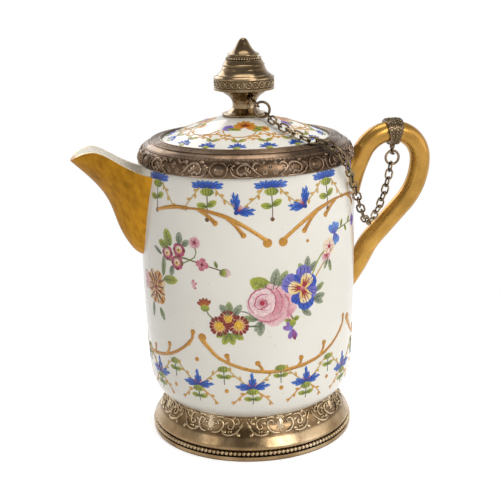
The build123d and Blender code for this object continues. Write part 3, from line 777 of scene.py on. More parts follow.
upperFlower = {
    "count": 11, "first": -89.5, "height": 102.3, "drop": 0.8,
    "headings": (-88, -77, -63, -42, -14, 14, 42, 63, 77, 88),
    "lengths": (6.1, 6.4, 4.6, 3.2, 2.3, 2.5, 3.0, 4.8, 6.3, 5.9), "petalWidth": 1.1,
    "calyx": (5.2, 2.8), "calyxLines": (-1.7, -0.5, 0.8, 1.9), "stem": 8.6, "leafSize": (4.0, 2.3),
    # degrees from the spout's middle that stay free of heads, and of what hangs between them
    "headMargin": 24, "gapMargin": 26,
}
gapFlower = {
    "headings": (-20, -7, 6, 17), "lengths": (5.0, 6.9, 6.4, 4.6), "petalWidth": 1.0, "secondHalf": 92,
    "stamens": (38, 52, 66),
    # shift, height and flip of the flower in each third gap; None leaves twigs alone
    "places": ((-1.6, 93.4, 1), (1.6, 94.0, -1), None), "bareGap": 10,
    "twigHeight": 94.6, "twigEnd": 0.4, "bareTwigEnd": -1.5,
}


def upperCornflower(piece, at):
    look = upperFlower
    green = paints["greenDark"]
    bluePetals(piece, at, 0, 0, look["headings"], look["lengths"], look["petalWidth"])
    long, high = look["calyx"]
    petal(piece, at, -long / 2, -1.5, 90, long, high, paints["greenYellow"], paints["green"], 4, 1.3)
    for u in look["calyxLines"]:
        stroke(piece, at, [(u * 0.7, -2.6), (u, -0.6)], (0.3, 0.2), green, layer=5, height=0.04)
    end = -2.4 - look["stem"]
    stem = [(0, -2.4), (0.1, -6.0), (0, end)]
    stroke(piece, at, stem, (0.4, 0.34, 0.3), green, paints["brown"], height=0.06)
    length, width = look["leafSize"]
    leaf(piece, at, 0, -6.6, -82, length, width, "green", 1)
    leaf(piece, at, 0, -6.4, 62, length, width, "green", 1)
    dot(piece, at, 0, end, 0.75, paints["brown"])


def halfCornflower(piece, at):
    look = gapFlower
    for turn in (0, look["secondHalf"]):
        headings = [heading + turn for heading in look["headings"]]
        bluePetals(piece, at, 0, 0, headings, look["lengths"], look["petalWidth"])
    for heading in look["stamens"]:
        line = [(0.4, 0.4), onward(0, 0, heading, 3.0)]
        stroke(piece, at, line, (0.3, 0.25), paints["crimson"], paints["rose"], layer=2, height=0.05)
    dot(piece, at, 0.1, -0.2, 0.8, paints["blueDeep"], layer=4)


def makeUpperFrieze():
    piece = bmesh.new()
    look = upperFlower
    step = 360 / look["count"]
    half = step / 2 * wallDegree
    for k in range(look["count"]):
        azimuth = look["first"] + step * k
        if nearSpout(azimuth, look["headMargin"]):
            continue
        # every second head hangs a little lower
        height = look["height"] - (look["drop"] if k % 2 == 0 else 0.0)
        upperCornflower(piece, pen("jug_body", azimuth, height))
        middle = azimuth + step / 2
        if nearSpout(middle, look["gapMargin"]):
            continue
        order = (k + 1) % look["count"]
        flower = None if order == gapFlower["bareGap"] else gapFlower["places"][order % 3]
        if flower:
            shift, height, flip = flower
            halfCornflower(piece, pen("jug_body", middle + shift, height, flip=flip))
        # twigs from this head and from the next one meet midway
        low = pen("jug_body", middle, gapFlower["twigHeight"])
        end = gapFlower["twigEnd"] if flower else gapFlower["bareTwigEnd"]
        for side in (-1, 1):
            points = mirrored([(half - 2.8, 6.9), (half * 0.55, 4.0), (1.6, end)], side)
            twig(piece, low, points, paints["goldPale"], 4, 1.6, side)
    finishPiece(piece, "upperFrieze", enamel, "jug")


# the lower frieze: upright cornflowers over the foot, with sprigs between them

lowerFlower = {
    "count": 12, "first": -101.3, "height": 28.9,
    "headings": (-97, -84, -69, -20, -2, 17, 66, 82, 96),
    "lengths": (4.8, 6.5, 4.9, 3.6, 6.1, 3.8, 5.1, 6.6, 4.6), "petalWidth": 1.15,
    "stamens": (-44, 38), "calyxLines": (-1.1, 0.0, 1.1), "leafSize": (3.4, 1.9),
    # one side's twigs, by colour
    "twigs": {"gold": ((1.6, -1.6), (4.6, -3.6), (7.6, -7.0)),
              "goldPale": ((3.0, 1.8), (6.0, 4.4), (9.0, 7.4))},
}
sprigLook = {
    "height": 36.0, "head": (4.4, 2.4), "lines": (-0.9, 0.0, 0.9), "stem": 6.0, "leafSize": (3.0, 1.8),
}


def lowerCornflower(piece, at):
    look = lowerFlower
    green = paints["greenDark"]
    bluePetals(piece, at, 0, 0, look["headings"], look["lengths"], look["petalWidth"])
    for heading in look["stamens"]:
        line = [onward(0, 0, heading, 0.9), onward(0, 0, heading, 2.6)]
        stroke(piece, at, line, (0.3, 0.25), paints["crimson"], paints["rose"], layer=3, height=0.05)
    petal(piece, at, -2.3, -1.5, 90, 4.6, 2.6, paints["green"], paints["greenYellow"], 4, 1.2)
    for u in look["calyxLines"]:
        stroke(piece, at, [(u * 0.7, -2.3), (u, -0.8)], (0.3, 0.2), green, layer=5, height=0.04)
    stroke(piece, at, [(0, -2.2), (0.1, -6.6)], (0.4, 0.3), green, height=0.06)
    length, width = look["leafSize"]
    for side in (-1, 1):
        leaf(piece, at, 0, -4.6, side * 84, length, width, "green", 1)


def sprig(piece, at):
    green = paints["greenDark"]
    long, high = sprigLook["head"]
    petal(piece, at, -long / 2, 0, 90, long, high, paints["green"], paints["greenYellow"], 2, 1.2)
    for u in sprigLook["lines"]:
        stroke(piece, at, [(u, -0.8), (u * 1.3, 0.9)], (0.3, 0.2), green, layer=3, height=0.04)
    stroke(piece, at, [(0, -0.6), (0.1, -sprigLook["stem"])], (0.4, 0.3), green, height=0.06)
    length, width = sprigLook["leafSize"]
    for side in (-1, 1):
        leaf(piece, at, 0, -3.2, side * 78, length, width, "green", 1)


def makeLowerFrieze():
    piece = bmesh.new()
    step = 360 / lowerFlower["count"]
    for k in range(lowerFlower["count"]):
        azimuth = lowerFlower["first"] + step * k
        at = pen("jug_body", azimuth, lowerFlower["height"])
        lowerCornflower(piece, at)
        for side in (-1, 1):
            for colour, points in lowerFlower["twigs"].items():
                twig(piece, at, mirrored(points, side), paints[colour], 3, 1.5, side)
        sprig(piece, pen("jug_body", azimuth + step / 2, sprigLook["height"]))
    finishPiece(piece, "lowerFrieze", enamel, "jug")


# gilded scrolls, given by azimuth from their middle and by height

festoon = {
    "cusps": (-88.35, 1.65, 91.65, 181.65),
    "wing": ((3.4, 82.6), (9, 85.6), (16, 88.8), (24, 91.6), (31, 93.0), (38, 93.9), (45.2, 94.0)),
    "wingWidths": (1.7, 1.4, 1.5, 1.7, 1.4, 1.0, 0.8),
    "branches": (((38.6, 93.6), (34, 92.0), (30, 89.7)), ((27, 92.6), (20.5, 89.4), (16.0, 85.6))),
    # under the spout only the far part of a wing shows
    "spoutMargin": 20, "spoutSkips": 3,
    "lowerMiddles": (-86.0, 4.0, 94.0, 184.0),
    "lower": ((-41.5, 46.6), (-37, 43.2), (-32, 40), (-20, 36.5), (-6, 34.8), (12, 35.6), (27, 38.3),
              (37, 42.4), (41.6, 45.6)),
    "lowerWidths": (2.0, 1.5, 1.3, 1.4, 1.6, 1.4, 1.2, 1.2),
    # foot and tip of each short stem on the lower scroll
    "knobs": ((-27.9, 38.4, -28.2, 41.2), (-9.6, 35.2, -12.4, 38.4), (9.0, 35.4, 11.2, 38.6),
              (23.0, 37.4, 26.2, 42.0), (40.0, 43.6, 43.4, 49.0)),
    # azimuth, height and radius of the loose dots
    "dots": ((-70.8, 81.4, 0.6), (-131.1, 38.7, 0.85), (-115.2, 27.5, 0.8), (-86, 28.2, 0.85),
             (-147.5, 26.4, 0.8), (-56.6, 28.0, 0.8), (-26, 27.8, 0.8), (64, 28, 0.8), (94, 28.2, 0.85)),
}


def alongWall(points, side=1):
    return [(side * a * wallDegree, z) for a, z in points]


def wingScroll(piece, at, side):
    gold, dark = paints["gold"], paints["goldDark"]
    wing = alongWall(festoon["wing"], side)
    stroke(piece, at, wing, festoon["wingWidths"], gold, dark, height=0.14, seed="long")
    dot(piece, at, wing[0][0] + side * 0.4, wing[0][1] - 0.3, 1.65, dark, gold, crown=0.2)
    for branch in festoon["branches"]:
        line = alongWall(branch, side)
        stroke(piece, at, line, (1.0, 1.3, 1.7), gold, dark, height=0.12)
        dot(piece, at, line[-1][0] - side * 0.2, line[-1][1] - 0.3, 1.0, dark, gold, crown=0.15)


def lowerScroll(piece, at):
    gold, dark = paints["gold"], paints["goldDark"]
    line = alongWall(festoon["lower"])
    stroke(piece, at, line, festoon["lowerWidths"], gold, dark, height=0.14, seed="long")
    dot(piece, at, line[0][0] + 0.2, line[0][1] + 0.8, 1.6, dark, gold, crown=0.2)
    for a, z, b, y in festoon["knobs"]:
        bend = ((a * 0.4 + b * 0.6) * wallDegree + 0.4, z * 0.5 + y * 0.5)
        stem = [(a * wallDegree, z), bend, (b * wallDegree, y)]
        stroke(piece, at, stem, (1.3, 1.1, 1.3), gold, dark, height=0.12)
        dot(piece, at, b * wallDegree, y, 1.0, dark, gold, crown=0.15)


def makeGilding():
    piece = bmesh.new()
    gold, dark = paints["gold"], paints["goldDark"]
    for cusp in festoon["cusps"]:
        at = pen("jug_body", cusp, 0.0)
        for side in (-1, 1):
            if nearSpout(cusp, festoon["spoutMargin"]):
                wing = alongWall(festoon["wing"], side)[festoon["spoutSkips"]:]
                stroke(piece, at, wing, (1.2, 1.7, 1.4), gold, dark, height=0.14, seed="long")
            else:
                wingScroll(piece, at, side)
    for middle in festoon["lowerMiddles"]:
        lowerScroll(piece, pen("jug_body", middle, 0.0))
    for azimuth, z, radius in festoon["dots"]:
        dot(piece, pen("jug_body", azimuth, z), 0, 0, radius, dark, gold, crown=0.12)
    finishPiece(piece, "gildedScrolls", gilding, "jug")


# flowers of the sprays

roseParts = {
    "heart": (-2.0, 0.5),
    # heading, length and width of the petals, from the outermost ring inwards
    "outer": ((52, 8.4, 6.4), (88, 9.4, 6.6), (124, 9.4, 6.6), (158, 8.6, 6.2), (14, 7.6, 5.8),
              (-22, 6.8, 5.8), (-58, 6.9, 6.0), (-96, 7.2, 6.0), (-132, 7.0, 6.0), (-166, 7.4, 6.0)),
    "cup": ((-80, 4.6, 4.6), (-30, 4.8, 4.4), (20, 5.0, 4.4), (72, 4.9, 4.6), (122, 4.8, 4.4),
            (172, 4.7, 4.4), (-128, 4.6, 4.4)),
    "middle": ((-70, 2.9, 2.8), (0, 3.0, 2.8), (70, 3.0, 2.8), (140, 3.0, 2.8), (-140, 2.9, 2.8)),
    # lines where one petal turns over the next, from the heart: heading and distance
    "turns": (((-60, 1.1), (30, 1.5), (120, 1.9), (200, 2.2)),
              ((150, 2.9), (240, 2.9), (330, 3.0), (30, 3.4)),
              ((-140, 4.5), (-90, 4.7), (-40, 4.8), (0, 5.0)),
              ((8, 5.9), (48, 5.2), (92, 4.7), (140, 5.2))),
    "folds": (((2.6, 5.4), (4.6, 2.6), (5.0, -0.6), (3.8, -3.6)),
              ((-3.6, -5.2), (-0.8, -6.2), (2.4, -5.8), (4.6, -4.4)), ((5.6, 3.0), (7.2, 0.8), (7.2, -2.0))),
}


def rose(piece, at, size):
    p = paints
    u, v = (part * size for part in roseParts["heart"])
    rings = (("outer", (0, 0), "rose", "pinkPale", 1, 0.25), ("cup", (u, v), "pink", "pinkLight", 3, 0.2),
             ("middle", (u, v), "rose", "pinkLight", 5, 0.2))
    for ringName, (x, y), near, far, layer, flare in rings:
        for heading, length, width in roseParts[ringName]:
            long, wide = length * size, width * size
            petal(piece, at, x, y, heading, long, wide, p[near], p[far], layer, 0.95, flare, 0.08)
    dot(piece, at, u, v, 0.85 * size, p["crimson"], layer=7)
    for k, turns in enumerate(roseParts["turns"]):
        arc = [onward(u, v, heading, reach * size) for heading, reach in turns]
        far = p["crimson"] if k == 0 else p["rose"]
        stroke(piece, at, arc, (0.15, 0.42, 0.50, 0.20), p["rose"], far, layer=8 if k < 2 else 6, height=0.05)
    for fold in roseParts["folds"]:
        line = [(x * size, y * size) for x, y in fold]
        stroke(piece, at, line, (0.3, 0.75, 0.65, 0.2), p["rose"], p["pink"], layer=6, height=0.05)


pansyParts = {
    # heading, length and width of each petal, and the colour it fades to
    "blue": ((-62, 8.4, 6.8, "violetPale"), (-28, 6.0, 4.6, "blue"), (8, 8.6, 6.0, "violetPale"),
             (62, 6.6, 5.2, "blue"), (118, 6.8, 5.4, "violetPale"), (162, 8.4, 6.6, "blue"),
             (-152, 6.2, 5.0, "blue")),
    "yellow": ((-78, 5.6, 4.8), (34, 5.8, 5.0), (158, 5.8, 5.0)),
    "blueLines": (-13, 0, 12),
    # the dark lines on the yellow petals: turn, and how far along the petal
    "yellowLines": ((-24, 0.6), (-9, 0.78), (6, 0.78), (20, 0.6)),
}


def pansy(piece, at):
    p = paints
    for heading, length, width, far in pansyParts["blue"]:
        petal(piece, at, 0, 0, heading, length, width, p["violet"], p[far], 2, 0.95, 0.35, 0.08)
        for turn in pansyParts["blueLines"]:
            line = [onward(0, 0, heading + turn, length * share) for share in (0.5, 0.88)]
            stroke(piece, at, line, (0.2, 0.34), p["violet"], p["blueDeep"], layer=5, height=0.05)
    for heading, length, width in pansyParts["yellow"]:
        petal(piece, at, 0, 0, heading, length, width, p["yellow"], p["cream"], 4, 0.95, 0.35, 0.06)
        for turn, share in pansyParts["yellowLines"]:
            line = [onward(0, 0, heading + turn, reach) for reach in (0.7, length * share)]
            stroke(piece, at, line, (0.75, 0.5, 0.2), p["crimson"], layer=8, height=0.05)
    dot(piece, at, 0, 0, 0.9, p["pink"], p["crimson"], layer=9)


def daisy(piece, at, radius=3.8, marks=15):
    p = paints
    for k in range(marks):
        heading = 360 / marks * k + random.uniform(-4, 4)
        u, v = onward(0, 0, heading, 0.8)
        petal(piece, at, u, v, heading, radius - 0.9, 1.45, p["orange"], p["cream"], k % 2, 1.1, 0.4)
        u, v = onward(0, 0, heading, radius * 0.52)
        petal(piece, at, u, v, heading, radius * 0.48, 1.15, p["redBrown"], p["redBrown"], 2, 1.1, 0.4)
    dot(piece, at, 0, 0, radius * 0.42, p["yellow"], layer=3, crown=0.15)
    for k in range(7):
        u, v = onward(0, 0, 51 * k, radius * 0.24)
        dot(piece, at, u, v, 0.22, p["orange"], layer=6, crown=0.05)


def roundel(piece, at, radius=2.7):
    p = paints
    for k in range(8):
        u, v = onward(0, 0, 45 * k, radius * 0.35)
        near = p["maroon"] if k % 3 else p["crimson"]
        far = p["rose"] if k % 2 else p["maroon"]
        petal(piece, at, u, v, 45 * k, radius * 0.68, radius * 0.8, near, far, k % 2, 1.0)
    dot(piece, at, 0, 0, radius * 0.60, p["pinkPale"], p["rose"], layer=2)
    dot(piece, at, 0.1, 0.1, radius * 0.40, p["cream"], p["yellow"], layer=5)
    dot(piece, at, 0.1, 0.1, radius * 0.15, p["maroon"], layer=9, crown=0.05)


def blossom(piece, at, radius, marks, near, far, core):
    for k in range(marks):
        heading = 360 / marks * k + 12
        petal(piece, at, 0, 0, heading, radius, radius * 0.95, paints[near], paints[far], k % 2, 1.05, 0.3)
        line = [(0, 0), onward(0, 0, heading, radius * 0.7)]
        stroke(piece, at, line, (0.3, 0.12), paints[core], layer=2, height=0.04)
    dot(piece, at, 0, 0, radius * 0.22, paints[core], layer=3)


# size of the whole flower, then each ring's share of it and number of petals
carnationParts = {"long": 11.0, "wide": 9.0, "rings": ((1.0, 13), (0.72, 11), (0.45, 8))}


def carnation(piece, at):
    p = paints
    for order, (share, marks) in enumerate(carnationParts["rings"]):
        for k in range(marks):
            heading = 360 / marks * k + order * 14
            sideways, upwards = onward(0, 0, heading, 1.0)
            span = carnationParts["wide"] * abs(sideways) + carnationParts["long"] * abs(upwards)
            reach = span / 2 * share
            far = p["gold"] if k % 2 else p["cream"]
            petal(piece, at, 0, 0, heading, reach, reach * 0.62, p["orange"], far, order * 2, 0.9, 0.45)
            line = [onward(0, 0, heading, reach * 0.45), onward(0, 0, heading, reach * 0.95)]
            stroke(piece, at, line, (0.3, 0.62), p["brown"], p["redBrown"], layer=order * 2 + 3, height=0.05)
    dot(piece, at, 0, 0, 0.9, p["redBrown"], layer=7)


def tuft(piece, at, headings, length, width, near, far, layer, point, flare=0.0):
    # a few petals from one point, as on a bud or a side view
    for heading in headings:
        petal(piece, at, 0, 0, heading, length, width, paints[near], paints[far], layer, point, flare)


sprays = {
    # azimuth and height of each point, widths, and the colours at both ends
    "stems": (
        (((-84, 58), (-79.5, 53.8), (-80, 50.6)), (0.8, 0.6, 0.4), "green", "greenDark"),
        (((-97, 52.6), (-103, 52.4)), (0.6, 0.5), "greenDark", "greenDark"),
        (((-97, 54.4), (-103, 57.5), (-106, 58)), (0.5, 0.4), "greyDark", "greyDark"),
        (((-117.5, 53.6), (-122.6, 56.0), (-124.8, 58.8)), (0.5, 0.45), "brown", "green"),
        (((-68.5, 68.5), (-63.5, 74.5), (-58, 77.2)), (0.6, 0.5), "greenYellow", "green"),
        (((-66.5, 67.5), (-61.5, 71.5), (-56.5, 75.2), (-52, 78)), (0.5, 0.5, 0.4), "gold", "green"),
        (((-50.5, 82.5), (-46, 83.0), (-36, 83.6), (-29, 83.2)), (0.5, 0.4), "green", "green"),
        (((-146, 74), (-140, 76.0), (-132.4, 75.6), (-123, 74.0), (-116, 72.8)), (0.7, 0.6, 0.4),
         "green", "brown"),
        (((-141, 72.6), (-135, 74.6), (-129, 77.2), (-129.4, 80.4)), (0.5, 0.4), "green", "green")),
    # azimuth, height, heading, length, width and colours
    "leaves": (
        (-90.5, 65.4, -62, 8.6, 5.6, "green"), (-90.0, 65.6, 12, 7.6, 3.4, "grey"),
        (-88.2, 65.8, 34, 7.4, 3.0, "greyPale"), (-71.4, 70.4, 4, 5.6, 2.6, "grey"),
        (-70.2, 70.2, 46, 4.8, 2.4, "grey"), (-72.6, 70.0, -34, 4.6, 2.4, "greyPale"),
        (-96.0, 54.4, 188, 5.8, 3.0, "grey"), (-95.4, 54.6, 216, 5.0, 2.6, "grey"),
        (-97.5, 55.0, -84, 6.0, 2.4, "greyPale"), (-112, 56.2, -40, 5.4, 2.8, "grey"),
        (-112, 56.2, -2, 5.4, 2.8, "greyPale"), (-110, 56.4, 34, 5.0, 2.6, "grey"),
        (-67.4, 60.0, 84, 5.4, 2.6, "grey"), (-67.4, 60.0, 118, 5.0, 2.4, "grey"),
        (-66.6, 62.4, 58, 5.0, 2.2, "greyPale"), (-74.5, 57.0, 128, 5.0, 2.4, "grey"),
        (-112.6, 50.0, 160, 4.8, 2.8, "green"), (-112.8, 50.0, 205, 5.0, 2.8, "green"),
        (-110.8, 50.2, 124, 4.6, 2.6, "green"), (-114.8, 50.2, 238, 3.8, 2.2, "green"),
        (-80.2, 53.2, -70, 3.2, 2.0, "green"), (-79.6, 53.2, 60, 2.8, 1.8, "green"),
        (-56.4, 72.8, 170, 4.6, 1.6, "greyPale"), (-57.6, 73.4, 205, 4.0, 1.4, "greyPale"),
        (-46, 83.2, 20, 3.0, 1.4, "green"), (-42, 83.4, 150, 3.0, 1.4, "green"),
        (-38, 83.6, 40, 2.8, 1.3, "green"),
        # the left spray
        (-145.0, 79.4, -22, 6.4, 4.2, "green"), (-146.6, 78.6, -72, 5.6, 3.2, "green"),
        (-139.0, 80.6, 4, 4.6, 3.0, "grey"), (-137.0, 80.2, 52, 3.8, 2.4, "grey"),
        (-143.8, 72.4, 196, 4.2, 2.4, "grey"), (-152.0, 75.6, -64, 5.2, 1.6, "grey"),
        (-151.6, 67.6, 8, 8.4, 2.4, "misty"), (-151.4, 66.4, 84, 7.4, 3.4, "green"),
        (-156.0, 54.8, 150, 5.0, 2.4, "misty"), (-162.6, 56.0, 188, 6.0, 1.8, "grey"),
        (-117.6, 73.6, -20, 2.6, 1.3, "palest")),
    # both sides of the jug carry the same sprays, half a turn apart
    "turns": (0.0, 180.0),
}


def makeStem(piece, shift, points, widths, near, far):
    first = points[0][0]
    flat = [((azimuth - first) * wallDegree, z) for azimuth, z in points]
    stroke(piece, pen("jug_body", first + shift, 0.0), flat, widths, paints[near], paints[far], height=0.07)


def mainSpray(piece, at):
    p = paints
    daisy(piece, at(-112.8, 55.2), 3.3, 13)
    daisy(piece, at(-117.5, 52.3))
    daisy(piece, at(-107.6, 52.9))
    bud = at(-124.9, 59.0)
    tuft(piece, bud, (-64, -38, -12, 14, 40), 3.4, 1.2, "orange", "redBrown", 1, 1.1, 0.3)
    petal(piece, bud, 0, -1.7, 0, 2.6, 3.4, p["green"], p["greenYellow"], 3)
    pansy(piece, at(-74.4, 64.6))
    rose(piece, at(-92.6, 60.4), 1.04)
    # loose petals to the right of the rose
    tuft(piece, at(-83.0, 58.4), (30,), 7.2, 4.2, "pink", "pinkPale", 1, 1.0)
    tuft(piece, at(-84.4, 55.6), (52,), 6.0, 3.4, "rose", "pinkPale", 2, 1.0)
    tuft(piece, at(-84.6, 57.4), (148,), 5.0, 3.4, "rose", "pinkPale", 1, 1.0)
    tuft(piece, at(-80.2, 50.0), (-70, -30, 150, 196), 3.6, 1.7, "violetPale", "purple", 2, 1.05, 0.3)
    tuft(piece, at(-79.8, 50.2), (168,), 4.4, 1.6, "purple", "maroon", 3, 1.05)
    dot(piece, at(-79.9, 52.5), 0, 0, 1.3, p["greenYellow"], p["green"], layer=3)


def rightSpray(piece, at):
    blossom(piece, at(-56.4, 77.6), 3.3, 5, "pinkPale", "cream", "crimson")
    blossom(piece, at(-58.6, 74.6), 2.3, 5, "rose", "pinkPale", "crimson")
    tuft(piece, at(-52.2, 81.6), (-40, 0, 36, 172, 140), 4.4, 2.4, "violet", "bluePale", 1, 1.0, 0.3)
    blossom(piece, at(-29.6, 83.2), 2.3, 5, "purple", "violetPale", "violet")


def leftSpray(piece, at):
    for azimuth, z in ((-139.1, 78.6), (-140.6, 73.8), (-147.3, 76.7)):
        roundel(piece, at(azimuth, z))
    blossom(piece, at(-129.4, 82.0), 2.3, 5, "rose", "pinkPale", "maroon")
    blossom(piece, at(-125.6, 74.4), 2.4, 4, "pink", "rose", "maroon")
    tuft(piece, at(-116.0, 72.4), (105,), 3.6, 3.2, "green", "pinkPale", 2, 1.0)
    tuft(piece, at(-116.4, 72.4), (112,), 2.4, 2.6, "greenDark", "greenYellow", 3, 1.0)
    carnation(piece, at(-159.1, 62.3))
    tuft(piece, at(-131.8, 66.6), (20, 70, 130), 2.2, 1.1, "pinkPale", "rose", 0, 1.2)


def makeBouquets():
    piece = bmesh.new()
    for shift in sprays["turns"]:
        def at(azimuth, height):
            return pen("jug_body", azimuth + shift, height)

        for stem in sprays["stems"]:
            makeStem(piece, shift, *stem)
        for azimuth, z, heading, length, width, kind in sprays["leaves"]:
            leaf(piece, at(azimuth, z), 0, 0, heading, length, width, kind, 3 if length > 5 else 2)
        mainSpray(piece, at)
        rightSpray(piece, at)
        leftSpray(piece, at)
        if shift == 0.0:
            # a pink flower half hidden under the spout
            tuft(piece, at(-171.5, 63), (-20, 25, 80, 140, 190), 3.8, 2.2, "rose", "pinkPale", 1, 1.0, 0.2)
    finishPiece(piece, "bouquets", enamel, "jug")


lidFlower = {
    "count": 16, "first": -85.5, "radius": 27.6,
    "headings": (-94, -70, -30, 4, 36, 72, 96), "lengths": (3.3, 3.1, 2.2, 2.6, 2.2, 3.1, 3.3),
    "petalWidth": 0.8, "twigRadius": 22.0,
}
lidPosy = {
    "count": 4, "first": -102, "radius": 15.0, "petals": (-110, -78, -46, -10, 24, 58, 92, 124),
    # azimuth from the posy and radius of the two small blossoms
    "violetBlossom": (-22, 16.0), "yellowBlossom": (24, 17.0),
}
lidScroll = {
    "count": 8, "first": -108, "radius": 20.0, "tipDot": 0.45,
    "points": ((-6.8, 1.6), (-4.2, -1.4), (0, -2.4), (4.2, -1.4), (6.8, 1.6)),
    "widths": (0.25, 0.50, 0.55, 0.50, 0.25),
}


def makePosy(piece, azimuth):
    p = paints
    at = pen("lid_dome", azimuth, lidPosy["radius"])
    tuft(piece, at, lidPosy["petals"], 4.6, 2.0, "orange", "gold", 1, 1.0, 0.3)
    for heading in (-60, 10, 70):
        petal(piece, at, 0, 0.2, heading, 2.8, 1.2, p["redBrown"], p["orange"], 3, 1.1)
    petal(piece, at, -1.2, 0.4, 80, 2.6, 1.4, p["brown"], p["redBrown"], 4)
    leaf(piece, at, 2.5, -2.0, 70, 4.2, 2.0, "green", 1)
    leaf(piece, at, -2.5, -2.2, -74, 4.2, 2.0, "green", 1)
    turn, radius = lidPosy["violetBlossom"]
    side = pen("lid_dome", azimuth + turn, radius)
    blossom(piece, side, 2.1, 5, "purple", "violetPale", "violet")
    leaf(piece, side, 1.6, -0.8, 100, 3.4, 1.5, "green", 0)
    turn, radius = lidPosy["yellowBlossom"]
    side = pen("lid_dome", azimuth + turn, radius)
    blossom(piece, side, 1.9, 5, "orange", "yellow", "redBrown")
    leaf(piece, side, -1.4, -0.6, -100, 3.4, 1.5, "green", 0)


def makeLidFlowers():
    piece = bmesh.new()
    look = lidFlower
    for k in range(look["count"]):
        azimuth = look["first"] + 360 / look["count"] * k
        at = pen("lid_dome", azimuth, look["radius"])
        bluePetals(piece, at, 0, -0.6, look["headings"], look["lengths"], look["petalWidth"])
        petal(piece, at, -1.3, -1.4, 90, 2.6, 1.3, paints["green"], paints["greenYellow"], 4)
        for side in (-1, 1):
            leaf(piece, at, 0, 2.4, side * 62, 3.4, 1.7, "green", 0)
            points = mirrored([(0.3, 2.2), (2.6, 4.0), (5.4, 4.6)], side)
            twig(piece, at, points, paints["gold"], 2, 1.5, side)
        if k % 2 == 0:
            inner = pen("lid_dome", azimuth, look["twigRadius"])
            twig(piece, inner, [(-5, -0.4), (0, 1.4), (5, 0.2)], paints["gold"], 4, 1.9)
    for k in range(lidPosy["count"]):
        makePosy(piece, lidPosy["first"] + 360 / lidPosy["count"] * k)
    finishPiece(piece, "lidFlowers", enamel, "lid")


def makeLidGilding():
    piece = bmesh.new()
    look = lidScroll
    gold, dark = paints["gold"], paints["goldDark"]
    for k in range(look["count"]):
        at = pen("lid_dome", look["first"] + 360 / look["count"] * k, look["radius"])
        stroke(piece, at, look["points"], look["widths"], gold, dark, height=0.08)
        for side in (-1, 1):
            dot(piece, at, side * 6.8, 1.8, look["tipDot"], dark, gold, crown=0.10)
    finishPiece(piece, "lidScrolls", gilding, "lid")


makeUpperFrieze()
makeLowerFrieze()
makeGilding()
makeBouquets()
makeLidFlowers()
makeLidGilding()


# chased silver; each unit is one half and its mirror image

bare = (1, 1, 1)  # silver takes no paint
rimChasing = {
    "low": 104.9, "high": 110.2, "repeats": 7, "first": -90.0,
    "flowers": ((0, 0.9), (-1.9, -0.7), (1.9, -0.7)),
    # points and width of each scroll
    "scrolls": (
        (((3.0, -1.8), (5.2, -0.4), (7.2, 1.6), (9.6, 1.9), (11.4, 0.4), (10.6, -1.2), (9.2, -0.7)), 0.95),
        (((3.0, 1.4), (4.4, 2.2), (6.0, 1.4), (5.6, 0.2), (4.6, 0.6)), 0.75),
        (((6.0, -2.2), (8.2, -2.1), (10.4, -2.2), (12.6, -1.4), (13.6, 0.4)), 0.72)),
    # place, heading and length of each frond
    "fronds": (
        (6.4, 0.6, 150, 1.98), (7.4, 1.5, 165, 2.09), (8.6, 1.9, 190, 1.98), (5.4, -0.6, -30, 1.76),
        (7.9, -2.0, 20, 1.65), (9.6, -2.1, 30, 1.65), (3.9, -1.3, 160, 1.32), (7.0, -0.6, 60, 1.87),
        (8.2, -0.4, 120, 1.65), (12.0, 1.8, 120, 2.09), (12.4, 0.2, 60, 1.76), (4.4, 2.3, 90, 1.65),
        (10.2, 2.3, 80, 2.09), (2.8, 1.9, -60, 1.54)),
    "frondWidth": 0.95,
    "oval": ((0.2, 2.3), (1.8, 2.1), (2.9, 0.9), (2.9, -0.7), (1.8, -1.9), (0.2, -2.2)),
    "shellRays": (-50, -25, 0, 25, 50),
    # the milled line over the chasing: marks round the rim, their radius, and their distance from it
    "milling": (150, 0.30, 0.55),
}
footChasing = {
    "low": 8.2, "high": 15.2, "repeats": 8, "first": -84.0,
    # points, width and height of each scroll
    "scrolls": (
        (((1.2, -2.6), (3.4, -2.2), (5.2, -0.4), (4.4, 1.6), (2.8, 1.2), (3.2, 0.0)), 0.95, 0.36),
        (((5.6, 2.6), (7.8, 2.6), (9.4, 1.0), (8.8, -1.0), (7.2, -0.8), (7.6, 0.4)), 0.90, 0.36),
        (((5.2, -2.6), (7.6, -2.9), (10.2, -2.2), (12.0, -0.4), (13.2, 1.8)), 0.85, 0.34),
        (((9.8, 2.9), (11.0, 2.4), (11.4, 1.2), (10.6, 0.6)), 0.75, 0.34)),
    "fronds": (
        (5.4, 0.2, 60, 2.07), (4.6, -1.6, 110, 2.07), (9.6, 0.4, 70, 2.3), (9.2, 1.8, 30, 1.84),
        (2.4, 2.4, 60, 2.3), (3.2, 2.9, 90, 2.07), (10.4, -2.1, 120, 1.84), (11.4, -1.0, 40, 2.07)),
    "frondWidth": 1.1, "frondHeight": 0.36,
    "bosses": ((7.6, -1.9), (8.5, -1.9), (2.2, 0.2), (11.6, 1.6), (12.2, 2.4)),
    "bossRadius": 0.42, "bossHeight": 0.40,
    "crown": (-60, -30, 0, 30, 60), "wreathBeads": 10, "wreath": (1.75, 2.2),
}


def boss(piece, at, u, v, radius, height):
    wide = radius * 2
    petal(piece, at, u, v - radius, 0, wide, wide, bare, bare, 0, 1.0, 0.0, height, 0.06)


def frond(piece, at, u, v, heading, length, width, height=0.50):
    petal(piece, at, u, v, heading, length, width, bare, bare, 0, 1.2, 0.1, height, 0.04)


def spiral(u, v, radius, first, turns, side):
    # points that curl inwards round (u, v)
    out = []
    for k in range(7):
        share = k / 6
        g = math.radians(first) + side * turns * 2 * math.pi * share
        r = radius * (1 - 0.72 * share)
        out.append((u + math.cos(g) * r, v + math.sin(g) * r))
    return out


